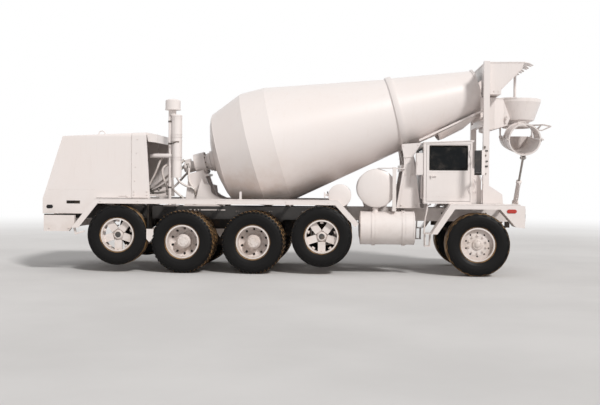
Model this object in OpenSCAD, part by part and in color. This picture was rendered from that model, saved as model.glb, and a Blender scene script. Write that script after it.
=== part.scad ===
/* [Chassis] */
// Height of the frame rails' top edge above the ground
rail_top = 1185; // [1175:5:1188]
// Depth of a frame rail
rail_h = 240; // [200:10:250]
// Half width over the outer faces of the rails
rail_out = 430; // [420:5:435]
// Width of a rail's flange
rail_flange = 85; // [70:5:90]
// Thickness of a rail's web and flanges
rail_t = 10; // [8:1:14]
// Rear end of the rails
rail_rear_x = -4460; // [-4480:10:-4440]
// Front end of the rails
rail_front_x = 3960; // [3940:10:3980]

/* [Wheels and axles] */
// Outer radius of the wide front tyres
front_tyre_r = 562; // [550:1:564]
// Width of a front tyre
front_tyre_w = 430; // [400:5:440]
// Outer radius of the driven tyres
drive_tyre_r = 565; // [545:1:568]
// Width of one driven tyre
drive_tyre_w = 300; // [280:5:310]
// Distance between the two tyres of a twin wheel
twin_pitch = 340; // [330:5:350]
// Outer radius of the tyres on the lifting axles
lift_tyre_r = 545; // [530:1:548]
// Width of a tyre on the lifting axles
lift_tyre_w = 290; // [270:5:300]
// Height of the raised tyres above the ground
lift_h = 132; // [100:2:140]
// Half width over the outer tyres
tyre_out = 1220; // [1215:1:1225]
// Radius of the rims' bead seat
rim_r = 286; // [284:1:288]
// Station of the steered front axle
front_axle_x = 3220; // [3210:5:3230]
// Station of the front driven axle
drive_1_x = -760; // [-765:5:-755]
// Distance between the two driven axles
tandem_pitch = 1270; // [1260:5:1280]
// Station of the lifting axle ahead of the driven pair
pusher_x = 470; // [465:5:475]
// Station of the lifting axle behind the driven pair
tag_x = -3210; // [-3215:5:-3205]
// Distance of a kingpin from the middle
kingpin_y = 780; // [775:1:785]

/* [Drum] */
// Slope of the drum's axis, up to the front, in degrees
drum_tilt = 14.6; // [14.5:0.1:14.7]
// Station of the seam between rear cone and belly, on the axis
drum_x = -910; // [-915:5:-905]
// Height of that point
drum_z = 2240; // [2235:5:2250]
// Radius of the belly
belly_r = 1105; // [1080:5:1110]
// Thickness of the drum's plate
drum_t = 10; // [8:1:12]
// Radius of the mouth
mouth_r = 435; // [430:1:440]
// Distance of the mouth from the belly's rear seam, along the axis
mouth_s = 4390; // [4380:5:4400]
// Radius of the roller track
track_r = 715; // [710:1:720]
// Distance of the roller track from the belly's rear seam
track_s = 2835; // [2830:5:2840]
// Radius of a support roller
roller_r = 150; // [145:1:155]
// Angle of a support roller from the drum's lowest line
roller_a = 32; // [31:0.5:33]
// Height of a mixing blade at the mouth
blade_h = 120; // [90:5:140]

/* [Bodywork] */
// Thickness of the hood's and the cab's panels
wall = 40; // [36:1:42]
// Half width of the engine hood
hood_half = 1100; // [1090:5:1110]
// Half width of the cab
cab_half = 950; // [945:1:955]
// Height of the rear fenders' top
deck_z = 1330; // [1325:1:1335]
// Height of the front fenders' top
fender_z = 1277; // [1275:1:1279]
// Depth of the fenders' visible edge
fender_edge = 90; // [80:2:96]
// Thickness of the fender sheet
sheet = 12; // [8:1:14]
// Clear gap round a door
door_gap = 5; // [5:0.5:7]
// Thickness of the window glass
glass_t = 6; // [4:1:8]

/* [Discharge end] */
// Station of the chute's upright pivot
pivot_x = 4080; // [4075:1:4085]
// Bearing of the stowed chute, in degrees from straight ahead
chute_yaw = -91.5; // [-92:0.5:-91]
// Slope of the stowed chute, down to its outer end, in degrees
chute_slope = 6; // [5:0.5:7]
// Radius of the chute's trough
chute_r = 270; // [266:1:272]
// Thickness of the chute's sheet
chute_t = 8; // [6:1:10]
// Height of the chute's lifting pivot
chute_z = 2526; // [2520:1:2530]
// Reach of the main chute from its pivot
chute_reach = 965; // [950:5:975]
// Length of the chute behind its pivot
chute_tail = 300; // [290:5:310]
// Length of the folding chute
tip_len = 600; // [580:5:605]
// Radius of the collector's spout
spout_r = 230; // [225:1:235]
// Radius of the collector's rim
bowl_r = 445; // [435:1:450]

/* [Tanks] */
// Radius of the water tank under the drum
water_r = 340; // [320:5:345]
// Radius of the oil tank beside the drum
oil_r = 205; // [190:5:210]
// Radius of a fuel tank
fuel_r = 297; // [280:1:298]

/* [Hidden] */
$fn = 72;
seat = 0.3;
fit = 0.05;
in_y = rail_out - rail_flange;
rail_low = rail_top - rail_h;
drive_2_x = drive_1_x - tandem_pitch;
lift_z = lift_tyre_r + lift_h;
outer_y = tyre_out - drive_tyre_w / 2;
twin_y = outer_y - twin_pitch / 2;
front_y = tyre_out - front_tyre_w / 2;
lift_y = tyre_out - lift_tyre_w / 2;
rim_flange = 14;
rim_t = 12;
paint = [0.93, 0.91, 0.9];
dark = [0.07, 0.07, 0.08];

// One row for each wheel: name, station, side, axle height, kind
WHEELS = [
  ["front_right", front_axle_x, -1, front_tyre_r, "front"],
  ["front_left", front_axle_x, 1, front_tyre_r, "front"],
  ["drive_1_right", drive_1_x, -1, drive_tyre_r, "drive"],
  ["drive_1_left", drive_1_x, 1, drive_tyre_r, "drive"],
  ["drive_2_right", drive_2_x, -1, drive_tyre_r, "drive"],
  ["drive_2_left", drive_2_x, 1, drive_tyre_r, "drive"],
  ["pusher_right", pusher_x, -1, lift_z, "lift"],
  ["pusher_left", pusher_x, 1, lift_z, "lift"],
  ["tag_right", tag_x, -1, lift_z, "lift"],
  ["tag_left", tag_x, 1, lift_z, "lift"]
];
PARTS = [
  "frame", "rear_bumper", "engine_block", "hood", "cowl", "grille", "rear_fenders",
  "front_fenders", "cab_shell", "cab_glass", "door_right", "door_left",
  "door_glass_right", "door_glass_left", "seat", "dash", "mast", "charge_hopper",
  "collector", "drip_shield", "pedestals", "drum_drive", "hoses", "stacks", "tanks",
  "beam_axles", "drive_train", "knuckle_right", "knuckle_left", "roller_right",
  "roller_left", "drum_shell", "drum_cone", "drum_blades", "chute_pivot", "chute_main",
  "chute_fold", "lift_barrel", "lift_rod", "lamps"
];

// Both sides of the vehicle
module sides() {
  children();
  mirror([0, 1, 0]) children();
}

// A side view outline, drawn in X and Z, given a width from y0 to y1
module slab(y0, y1) {
  translate([0, y1, 0]) rotate([90, 0, 0]) linear_extrude(y1 - y0) children();
}

// A front view outline, drawn in Y and Z, given a length from x0 to x1
module beam(x0, x1) {
  translate([x0, 0, 0]) rotate([90, 0, 90]) linear_extrude(x1 - x0) children();
}

// A box between two corners
module block(a, b) {
  translate(a) cube(b - a);
}

// A round bar between two points
module bar(p, q, r) {
  d = q - p;
  l = norm(d);
  translate(p) rotate([0, acos(d[2] / l), atan2(d[1], d[0])]) cylinder(h = l, r = r);
}

// A square with its two upper corners rounded
module arch(half, low, high, r) {
  translate([-half, low]) square([2 * half, high - low - r]);
  translate([-half + r, low]) square([2 * (half - r), high - low]);
  for (s = [-1, 1]) translate([s * (half - r), high - r]) circle(r);
}

// A slot-shaped outline
module oval(l, h) {
  for (s = [-1, 1]) translate([s * (l - h) / 2, 0]) circle(h / 2);
  square([l - h, h], center = true);
}

module c_rail() {
  beam(rail_rear_x, rail_front_x) difference() {
    translate([in_y, rail_low]) square([rail_flange, rail_h]);
    translate([in_y - 1, rail_low + rail_t]) square([rail_flange - rail_t + 1, rail_h - 2 * rail_t]);
  }
}

// Stations of the cross members
CROSS = [-4400, -2560, -1980, -1180, -560, 60, 760, 1500, 2030, 2640, 3400];
cross_w = 90;
cross_low = rail_low + 30;
cross_top = rail_top - 70;
nose_beam_x = 4190;
module frame() {
  color(paint) {
    sides() c_rail();
    for (x = CROSS) block([x, -rail_out + rail_t - 1, cross_low], [x + cross_w, rail_out - rail_t + 1, cross_top]);
    difference() {
      block([rail_front_x - 1, -rail_out, rail_low], [nose_beam_x, rail_out, rail_top]);
      for (y = [-250, 250], z = [1005, 1125])
        translate([nose_beam_x - 80, y, z]) rotate([0, 90, 0]) cylinder(h = 81, r = 9);
    }
    sides() for (x = [2330, 3050]) block([x, in_y, rail_top - 1], [x + 70, rail_out, fender_z]);
  }
}

bumper_x = -4560;
bumper_low = 734;
bumper_top = 1024;
bumper_side_x = -4000;
module rear_bumper() {
  color(paint) {
    difference() {
      block([bumper_x, -1180, bumper_low], [bumper_x + 90, 1180, bumper_top]);
      for (y = [-150, 150], z = [820, 940])
        translate([bumper_x - 1, y, z]) rotate([0, 90, 0]) cylinder(h = 92, r = 11);
    }
    sides() {
      slab(1100, 1180) polygon([
        [bumper_x, bumper_low], [bumper_side_x - 104, bumper_low], [bumper_side_x, bumper_low + 131],
        [bumper_side_x, bumper_top], [bumper_x, bumper_top]
      ]);
      block([bumper_x + 89, in_y, rail_low - 60], [rail_rear_x + 300, rail_out, rail_low - seat]);
      block([bumper_x + 89, in_y, rail_low - 60], [rail_rear_x - seat, rail_out, bumper_top]);
      for (y = [480, 526]) slab(y, y + 14) {
        translate([hood_hinge_x, hood_hinge_z]) circle(15);
        translate([hood_hinge_x, hood_hinge_z - 15]) square([bumper_x - hood_hinge_x + 1, 30]);
      }
      slab(480, 540) translate([hood_hinge_x, hood_hinge_z]) circle(hood_pin_r);
    }
  }
}

engine_x0 = -4150;
engine_x1 = -3100;
engine_half = 325;
engine_top = 2020;
module engine_block() {
  color([0.3, 0.3, 0.3]) {
    block([engine_x0, -engine_half, rail_low + 20], [engine_x1, engine_half, engine_top]);
    sides() for (x = [engine_x0 + 100, engine_x1 - 220])
      block([x, engine_half - 1, rail_top + seat], [x + 120, rail_out, rail_top + 50]);
  }
}

// Side outline of the engine hood, from its low rear corner round to its front
hood_front_x = -2975;
HOOD = [
  [-4610, 1050], [-3855, 1050], [-3618, 1340], [hood_front_x, 1340], [hood_front_x, 2515],
  [-4240, 2455], [-4570, 1434], [-4610, 1323]
];
HOOD_IN = [
  [-4610 + wall, 1049], [-3855, 1049], [-3618, 1339], [hood_front_x + 1, 1339],
  [hood_front_x + 1, 2515 - wall], [-4240 + wall * 0.7, 2455 - wall], [-4570 + wall, 1434],
  [-4610 + wall, 1323]
];
grille_slope = atan2(330, 1021);
grille_half = 720;
grille_len = 760;
hood_hinge_x = -4590;
hood_hinge_z = 1037;
hood_pin_r = 8;
module grille_place() {
  translate([-4570, 0, 1434]) rotate([0, grille_slope, 0]) translate([0, 0, 140]) children();
}
module hood() {
  color(paint) {
    difference() {
      intersection() {
        slab(-hood_half, hood_half) polygon(HOOD);
        beam(-4700, hood_front_x + 1) arch(hood_half, 1000, 2515, 70);
      }
      intersection() {
        slab(-hood_half + wall, hood_half - wall) polygon(HOOD_IN);
        beam(-4700, hood_front_x + 2) arch(hood_half - wall, 1000, 2515 - wall, 40);
      }
      grille_place() block([-60, -grille_half, 0], [120, grille_half, grille_len]);
      sides() block([-4620, 472, 1040], [-4560, 548, 1082]);
    }
    sides() difference() {
      slab(497, 523) {
        translate([hood_hinge_x, hood_hinge_z]) circle(16);
        translate([hood_hinge_x - 14, hood_hinge_z]) square([28, 50]);
      }
      slab(496, 524) translate([hood_hinge_x, hood_hinge_z]) circle(hood_pin_r + fit);
    }
  }
}

slats = 14;
module grille() {
  color(dark) grille_place() {
    block([20, -grille_half + seat, seat], [30, grille_half - seat, grille_len - seat]);
    difference() {
      block([2, -grille_half + seat, seat], [22, grille_half - seat, grille_len - seat]);
      block([0, -grille_half + 30, 30], [24, grille_half - 30, grille_len - 30]);
    }
    for (i = [0 : slats - 1])
      translate([2, 0, 30 + (i + 0.5) * (grille_len - 60) / slats])
        block([0, -grille_half + 29, -6], [19, grille_half - 29, 6]);
  }
}

// Side outline of the fixed front part of the hood
cowl_x0 = hood_front_x + 5;
COWL = [[cowl_x0, 1345], [-2640, 1345], [-2715, 2528], [cowl_x0, 2516]];
module cowl() {
  color(paint) {
    difference() {
      intersection() {
        slab(-hood_half, hood_half) polygon(COWL);
        beam(-3000, -2600) arch(hood_half, 1300, 2528, 70);
      }
      beam(-3001, -2599) arch(hood_half - wall, 1299, 2528 - wall, 40);
    }
    slab(-hood_half + 80, hood_half - 80)
      polygon([
        [-2722, 2500], [-2716, 2527], [-2530, 2492], [-2530, 2345], [-2546, 2345], [-2546, 2479], [-2722, 2512]
      ]);
    for (y = [-hood_half + 80, 0, hood_half - 92])
      slab(y, y + 12) polygon([[-2722, 2500], [-2716, 2527], [-2530, 2492], [-2530, 2345], [-2690, 2364]]);
    sides() block([-2960, hood_half - 300, deck_z + seat], [-2700, hood_half - wall + 1, 1360]);
  }
}

// A bent fender: its edge, its top sheet and its end sheets, from a side outline
module bent_sheet(outline, y0, y1, t) {
  slab(y0, y1) difference() {
    polygon(outline);
    translate([0, -t]) polygon(outline);
  }
}

// Rear fender's middle line: x, z of its upper edge from rear foot to front foot
DECK = [[-4040, 800], [-3618, deck_z], [753, deck_z], [1127, 914]];
DECK_IN = [[-3912, 800], [-3561, deck_z - fender_edge], [708, deck_z - fender_edge], [1060, 854]];
deck_in = 800;
// Stations of the arms that carry the rear fenders on the rails
ARMS = [-3560, -2860, -1440, -200, 500];
module rear_fenders() {
  color(paint) sides() difference() {
    rear_fender();
    block([oil_x - oil_r - 9, deck_in - 1, 1100], [oil_x + oil_r + 30, oil_half + 12, deck_z + 1]);
  }
}
module rear_fender() {
  union() {
    slab(tyre_out - sheet, tyre_out) polygon(concat(DECK, [for (i = [3 : -1 : 0]) DECK_IN[i]]));
    slab(deck_in, tyre_out - sheet + 1) polygon([
      DECK[0], DECK[1], DECK[2], DECK[3], DECK[3] - [sheet * 1.4, 0], DECK[2] - [sheet * 0.7, sheet],
      DECK[1] + [sheet * 0.7, -sheet], DECK[0] + [sheet * 1.2, 0]
    ]);
    for (x = ARMS) beam(x, x + 60)
      polygon([
        [in_y, rail_top + seat], [tyre_out - sheet + 1, deck_z - fender_edge + 8],
        [tyre_out - sheet + 1, deck_z - sheet + 1], [660, deck_z - sheet + 1],
        [580, rail_top + 42], [in_y, rail_top + 42]
      ]);
  }
}

// Side outline of a front fender and its solid nose
FENDER = [[2350, 742], [2480, 742], [2800, fender_z], [3940, fender_z], [3940, fender_z - 1]];
fender_in = 870;
nose_x = 4020;
nose_low = 861;
module front_fenders() {
  color(paint) sides() {
    slab(tyre_out - sheet, tyre_out + 10) polygon([
      [2400, 742], [2735, fender_z], [3600, fender_z], [3600, fender_z - fender_edge],
      [2810, fender_z - fender_edge], [2505, 742]
    ]);
    slab(fender_in, tyre_out - sheet + 1) polygon([
      [2400, 742], [2735, fender_z], [3600, fender_z], [3600, fender_z - sheet],
      [2735 + sheet * 0.6, fender_z - sheet], [2400 + sheet, 742]
    ]);
    difference() {
      slab(fender_in, tyre_out + 10) polygon([
        [3560, fender_z], [3940, fender_z], [3945, 1251], [nose_x, 1251], [nose_x, nose_low],
        [3865, nose_low + 19], [3596, fender_z - fender_edge], [3560, fender_z - fender_edge]
      ]);
      slab(fender_in + sheet, tyre_out + 10 - sheet) polygon([
        [3540, fender_z - sheet], [3930, fender_z - sheet], [3930, 1239], [nose_x - sheet, 1239],
        [nose_x - sheet, nose_low - 1], [3884, nose_low - 1], [3878, nose_low + 26],
        [3610, fender_z - fender_edge + 4], [3540, fender_z - fender_edge + 4]
      ]);
    }
    slab(fender_in, tyre_out - 20) polygon([[2280, 742], [2402, 742], [2408, 754], [2280, 754]]);
    for (x = [2790, 3720]) beam(x, x + 60)
      polygon([
        [in_y, rail_top + seat], [fender_in + 1, fender_z - fender_edge + 10],
        [tyre_out - sheet, fender_z - fender_edge + 20], [tyre_out - sheet, fender_z - sheet + 1],
        [fender_in, fender_z - sheet + 1], [fender_in - 60, fender_z - 30], [in_y, rail_top + 40]
      ]);
  }
}

cab_z = fender_z + seat;
cab_x0 = 2280;
cab_x1 = 3140;
cab_roof_0 = 2378;
cab_roof_1 = 2412;
door_x0 = 2325;
door_x1 = 3105;
door_z0 = cab_z + wall;
door_z1 = 2342;
window_z0 = 1872;
window_z1 = 2318;
window_x0 = 2378;
window_x1 = 3060;
nose_cowl_x = 3330;
nose_cowl_half = 725;
hinge_r = 12;
hinge_pin_r = 6;
HINGES = [1480, 2120];
module cab_profile(d) {
  polygon([
    [cab_x0 + d, cab_z + d], [cab_x0 + d, cab_roof_0 - d * 0.8], [cab_x1 - d, cab_roof_1 - d * 0.8],
    [cab_x1 - d, cab_z + d]
  ]);
}
module door_hinge_axis(z) {
  translate([door_x1 - 8, cab_half + hinge_r, z]) children();
}
module cab_shell() {
  color(paint) {
    difference() {
      union() {
        slab(-cab_half, cab_half) cab_profile(0);
        slab(-cab_half, cab_half) polygon([
          [cab_x1 - 1, cab_roof_1 - 34], [cab_x1 - 1, cab_roof_1], [3170, cab_roof_1 + 1], [3170, cab_roof_1 - 28]
        ]);
        slab(-nose_cowl_half, nose_cowl_half) polygon([
          [cab_x1 - 1, cab_z], [nose_cowl_x, cab_z], [nose_cowl_x, 1700], [3250, 1900], [cab_x1 - 1, 1930]
        ]);
      }
      slab(-cab_half + wall, cab_half - wall) cab_profile(wall);
      slab(-nose_cowl_half + wall, nose_cowl_half - wall) polygon([
        [cab_x1 - wall - 1, cab_z + wall], [nose_cowl_x - wall, cab_z + wall], [nose_cowl_x - wall, 1690],
        [3234, 1862], [cab_x1 - wall - 1, 1862]
      ]);
      block([door_x0, -cab_half - 1, door_z0], [door_x1, cab_half + 1, door_z1]);
      block([cab_x1 - wall - 2, -cab_half + 90, 1960], [cab_x1 + 2, cab_half - 90, 2330]);
      block([cab_x0 - 2, -cab_half + 220, 1900], [cab_x0 + wall + 2, cab_half - 220, 2290]);
    }
    block([2150, -930, 1790], [cab_x0 + 1, -740, 2181]);
    sides() for (z = HINGES) door_hinge_axis(z) {
      for (k = [0, 70]) translate([0, 0, k]) {
        cylinder(h = 30, r = hinge_r - seat);
        translate([8, -hinge_r - 1, 0]) cube([12, hinge_r + 4, 30]);
      }
      cylinder(h = 100, r = hinge_pin_r);
    }
  }
}

module cab_glass() {
  color([0.08, 0.1, 0.11, 0.6]) {
    block([cab_x1 - wall / 2 - glass_t, -cab_half + 90 + seat, 1960 + seat],
          [cab_x1 - wall / 2, cab_half - 90 - seat, 2330 - seat]);
    block([cab_x0 + wall / 2, -cab_half + 220 + seat, 1900 + seat],
          [cab_x0 + wall / 2 + glass_t, cab_half - 220 - seat, 2290 - seat]);
  }
}

module door() {
  color(paint) {
    difference() {
      block([door_x0 + door_gap, cab_half - wall, door_z0 + door_gap],
            [door_x1 - door_gap, cab_half, door_z1 - door_gap]);
      block([window_x0, cab_half - wall - 1, window_z0], [window_x1, cab_half + 1, window_z1]);
    }
    for (z = HINGES) door_hinge_axis(z) difference() {
      union() {
        translate([0, 0, 31]) cylinder(h = 38, r = hinge_r);
        translate([-30, -hinge_r - 1, 31]) cube([30, hinge_r + 1, 38]);
      }
      cylinder(h = 100, r = hinge_pin_r + fit);
    }
    translate([door_x0 + 70, cab_half - 1, 1760]) cube([110, 22, 20]);
  }
}
module door_glass() {
  color([0.08, 0.1, 0.11, 0.6])
    block([window_x0 + seat, cab_half - wall / 2 - glass_t / 2, window_z0 + seat],
          [window_x1 - seat, cab_half - wall / 2 + glass_t / 2, window_z1 - seat]);
}

module seat_module() {
  color(dark) {
    block([2420, -150, cab_z + wall + seat], [2640, 150, 1480]);
    slab(-240, 240) polygon([[2380, 1479], [2780, 1479], [2800, 1520], [2780, 1590], [2400, 1570], [2380, 1520]]);
    slab(-230, 230) polygon([[2352, 1560], [2440, 1572], [2420, 2080], [2380, 2120], [2335, 2090]]);
  }
}

wheel_c = [2905, 0, 1830];
module dash() {
  color(dark) {
    slab(-cab_half + wall + 20, cab_half - wall - 20) polygon([
      [3020, 1560], [3098, 1560], [3098, 1858], [3040, 1840], [2990, 1760]
    ]);
    slab(-60, 60) polygon([[3040, cab_z + wall + seat], [3098, cab_z + wall + seat], [3098, 1600], [3040, 1600]]);
    bar([3050, 0, 1700], wheel_c, 28);
    translate(wheel_c) rotate([0, -48, 0]) {
      rotate_extrude() translate([215, 0]) circle(14, $fn = 24);
      cylinder(h = 24, r = 45);
      for (a = [0 : 120 : 240]) rotate([0, 0, a]) translate([30, -14, 4]) cube([185, 28, 12]);
    }
  }
}

col_x0 = 3345;
col_x1 = 3450;
col_in = 745;
col_out = 855;
mast_top = 3832;
mast_base = 1285;
tie_z0 = 2700;
tie_z1 = 2790;
mirror_c = [3217, 1287];
mirror_w = 188;
mirror_d = 70;
mirror_turn = 33;
mirror_z0 = 1786;
mirror_z1 = 2217;
module mast() {
  color(paint) {
    sides() {
      block([col_x0, col_in, rail_top + seat], [col_x1, col_out, mast_top]);
      slab(col_out - 14, col_out) polygon([
        [col_x1 - 1, 1200], [3700, 1230], [3700, 1300], [3690, 1449], [col_x1 - 1, 1608]
      ]);
      slab(col_in, col_out - 13) polygon([[col_x1 - 1, 1200], [3700, 1230], [3700, 1242], [col_x1 - 1, 1212]]);
    }
    block([col_x0, -col_in - 1, rail_top + seat], [col_x1, col_in + 1, mast_base]);
    block([col_x0, -col_in - 1, tie_z0], [col_x1, col_in + 1, tie_z1]);
    sides() {
      translate([mirror_c[0], mirror_c[1], mirror_z0]) rotate([0, 0, -mirror_turn])
        translate([-mirror_d / 2, -mirror_w / 2, 0]) cube([mirror_d, mirror_w, mirror_z1 - mirror_z0]);
      for (z = [mirror_z0 + 30, mirror_z1 - 30]) bar([col_x0 + 30, col_out - 5, z], [3210, 1240, z], 13);
    }
  }
}

// Side outline of the charge hopper, from its low rear corner round
hop_half = col_in - seat;
HOPPER = [[3381, 3250], [3668, 3250], [3668, 3330], [4026, 3690], [4079, mast_top], [3381, mast_top]];
// The hopper's front lip is bent down and torn: side outline, and place and size of each tear
LIP = [[4066, mast_top - 12], [4079, mast_top], [4150, 3816], [4236, 3772], [4229, 3762], [4146, 3804]];
TEARS = [[-640, 70], [-470, 130], [-250, 60], [-60, 150], [190, 90], [420, 120], [650, 80]];
module charge_hopper() {
  color(paint) {
    difference() {
      slab(-hop_half, hop_half) polygon(HOPPER);
      slab(-hop_half + sheet, hop_half - sheet) polygon([
        [3393, 3262], [3656, 3262], [3656, 3335], [4012, 3694], [4067, mast_top + 1], [3393, mast_top + 1]
      ]);
      block([3393, -288, 3240], [3656, 288, 3270]);
      block([3370, -300, 3240], [3400, 300, 3560]);
    }
    slab(-300, 300) polygon([[3657, 3251], [3667, 3251], [3667, 3262], [3345, 3150], [3345, 3138]]);
    sides() slab(288, 300) polygon([[3345, 3138], [3667, 3250], [3667, 3262], [3400, 3262], [3345, 3240]]);
    difference() {
      slab(-hop_half, hop_half) polygon(LIP);
      for (t = TEARS) translate([4236, t[0], 3700]) rotate([0, 0, 45])
        translate([-t[1] / 2, -t[1] / 2, 0]) cube([t[1], t[1], 180]);
    }
    bar([3985, -340, 3659], [3985, -340, bowl_top + seat], 24);
  }
}

bowl_top = 3220;
bowl_low = 2790;
bowl_waist_r = 325;
spout_low = 2690;
trough_half = 470;
trough_nose_half = 345;
ring_low = spout_low + 15;
ring_top = ring_low + 40;
module bowl_form(d) {
  translate([pivot_x, 0, 0]) rotate_extrude() polygon([
    [0, spout_low - d * 2], [spout_r - d, spout_low - d * 2], [spout_r - d, bowl_low + d * 0.7],
    [bowl_waist_r - d, bowl_low + 40 + d * 0.7], [bowl_r - d, bowl_top - 60], [bowl_r - d, bowl_top + d],
    [0, bowl_top + d]
  ]);
}
// Plan of the collector's box, drawn in towards the bowl so that the folding chute passes it
module trough_plan(d) {
  h = trough_half - d;
  n = trough_nose_half - d;
  e = 4000;
  translate([0, 0, 2500]) linear_extrude(800) polygon([
    [3300, -h], [3600 - d * 0.3, -h], [3785 - d * 0.3, -n], [e, -n], [e, n], [3785 - d * 0.3, n],
    [3600 - d * 0.3, h], [3300, h]
  ]);
}
module trough_hollow() {
  intersection() {
    slab(-trough_half, trough_half) polygon([
      [col_x0 - 1, bowl_low + 22], [3790, bowl_low + 22], [3880, 2850], [3752, bowl_top + 1],
      [col_x0 - 1, bowl_top + 1]
    ]);
    trough_plan(sheet);
  }
}
module collector() {
  color(paint) {
    difference() {
      intersection() {
        slab(-trough_half, trough_half) polygon([
          [col_x0, tie_z1 + seat], [col_x1 + 4, tie_z1 + seat], [col_x1 + 4, 2640], [3530, 2618],
          [3852, 2716], [3905, 2850], [3766, bowl_top], [col_x0, bowl_top]
        ]);
        trough_plan(0);
      }
      bowl_form(sheet);
      trough_hollow();
      intersection() {
        slab(-trough_half, trough_half) polygon([
          [col_x1 + 4 + sheet, 2600], [col_x1 + 4 + sheet, bowl_low + 10], [3796, bowl_low + 10], [3893, 2841],
          [3920, 2841], [3920, 2600]
        ]);
        trough_plan(sheet);
      }
    }
    difference() {
      union() {
        bowl_form(0);
        translate([pivot_x, 0, spout_low]) cylinder(h = 14.7, r = spout_r + 20);
      }
      bowl_form(sheet);
      trough_hollow();
    }
    sides() block([col_x0 + 20, trough_half - 1, 2820], [col_x1 - 20, col_in - seat, 2860]);
  }
}

// The rail of the drip shield rises beside the cone's lowest line
shield_a = [2640, 2592];
shield_b = [3260, 2905];
shield_half = 370;
shield_depth = 130;
shield_slope = atan2(shield_b[1] - shield_a[1], shield_b[0] - shield_a[0]);
shield_arc = (shield_half * shield_half + shield_depth * shield_depth) / (2 * shield_depth);
module drip_shield() {
  color(paint) {
    intersection() {
      translate([shield_a[0], 0, shield_a[1]]) rotate([0, 90 - shield_slope, 0])
        translate([shield_depth - shield_arc, 0, -60]) difference() {
          cylinder(h = 760, r = shield_arc, $fn = 144);
          translate([0, 0, -1]) cylinder(h = 762, r = shield_arc - 8, $fn = 144);
          translate([-2 * shield_arc, -shield_arc, -2])
            cube([2 * shield_arc + shield_arc - shield_depth, 2 * shield_arc, 764]);
        }
      slab(-400, 400) polygon([[2600, 2450], [2960, 2560], [3300, 2880], [3300, 3000], [2560, 2700]]);
    }
    sides() {
      slab(shield_half - 20, shield_half + 20) polygon([
        [2240, 2416], [3290, 2918], [3290, 2958], [2240, 2456]
      ]);
      bar([3270, shield_half, 2930], [col_x0 + 30, col_in - 12, 2960], 18);
    }
  }
}

// The drum's own frame: Z along the axis towards the mouth, X downwards
module drum_axis(s = 0) {
  translate([drum_x, 0, drum_z]) rotate([0, 90 - drum_tilt, 0]) translate([0, 0, s]) children();
}
roller_d = track_r + seat + roller_r;
module roller_place(side) {
  drum_axis(track_s) translate([roller_d * cos(roller_a), side * roller_d * sin(roller_a), 0]) children();
}

// Outline of the drum's rear half: radius, distance along the axis
head_flange_s = -800;
head_r = 862;
head_s = -548;
belly_s = 60;
belly_end = 523;
HEAD = [[200, -745], [450, -706], [714, -630], [820, -582], [head_r, head_s]];
shaft_r = 70;
shaft_len = 90;
module drum_shell() {
  color(paint) drum_axis() {
    rotate_extrude($fn = 144) polygon(concat(
      [[0, head_flange_s], [200, head_flange_s]], HEAD,
      [[belly_r, belly_s], [belly_r, belly_end], [belly_r - drum_t, belly_end], [belly_r - drum_t, belly_s + 4]],
      [for (i = [4 : -1 : 0]) HEAD[i] + [-drum_t * 0.6, drum_t]], [[0, -745 + drum_t]]
    ));
    translate([0, 0, head_flange_s - shaft_len]) cylinder(h = shaft_len + 1, r = shaft_r);
  }
}

// Outline of the drum's front half: radius at each distance along the axis
CONE = [[belly_r, belly_end + 0.1], [680, 2829], [mouth_r, mouth_s]];
track_w = 90;
module drum_cone() {
  color(paint) drum_axis() rotate_extrude($fn = 144) polygon([
    CONE[0], [682 + 6, 2829 - track_w / 2 - 30], [track_r, 2829 - track_w / 2 - 30 + 27],
    [track_r, track_s + track_w / 2], [678, track_s + track_w / 2], CONE[2] - [0, 30],
    CONE[2] + [14, -30], CONE[2] + [14, 0], CONE[2] - [drum_t, 0], CONE[1] - [drum_t, 0],
    CONE[0] - [drum_t, 0]
  ]);
}

// Mixing blades: two helical fins inside the front cone
blade_s0 = 2400;
blade_s1 = 4230;
blade_turns = 1.5;
blade_t = 8;
blade_steps = 48;
function cone_r(s) = s < 2829
  ? belly_r + (680 - belly_r) * (s - belly_end) / (2829 - belly_end)
  : 680 + (mouth_r - 680) * (s - 2829) / (mouth_s - 2829);
function blade_ring(i, a0) =
  let (s = blade_s0 + (blade_s1 - blade_s0) * i / blade_steps)
  let (a = a0 + 360 * blade_turns * i / blade_steps)
  let (r = cone_r(s) - drum_t - 3)
  let (h = blade_h + (r - mouth_r) * 0.5)
  [for (q = [[r, 0], [r, blade_t], [r - h, blade_t], [r - h, 0]]) [q[0] * cos(a), q[0] * sin(a), s + q[1]]];
module blade(a0) {
  rings = [for (i = [0 : blade_steps]) blade_ring(i, a0)];
  polyhedron(
    points = [for (r = rings) each r],
    faces = concat(
      [[0, 1, 2, 3]],
      [for (i = [0 : blade_steps - 1]) for (k = [0 : 3])
        [4 * i + k, 4 * i + 4 + k, 4 * i + 4 + (k + 1) % 4]],
      [for (i = [0 : blade_steps - 1]) for (k = [0 : 3])
        [4 * i + k, 4 * i + 4 + (k + 1) % 4, 4 * i + (k + 1) % 4]],
      [[4 * blade_steps + 3, 4 * blade_steps + 2, 4 * blade_steps + 1, 4 * blade_steps]]
    )
  );
}
module drum_blades() {
  color([0.4, 0.39, 0.38]) drum_axis() for (a = [0, 180]) blade(a);
}

roller_w = 100;
roller_pin_r = 30;
fork_t = 30;
fork_gap = 6;
module roller(side) {
  color([0.35, 0.35, 0.35]) roller_place(side) {
    translate([0, 0, -roller_w / 2]) cylinder(h = roller_w, r = roller_r);
    translate([0, 0, -roller_w / 2 - fork_gap - fork_t])
      cylinder(h = roller_w + 2 * fork_gap + 2 * fork_t, r = roller_pin_r);
  }
}

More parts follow.
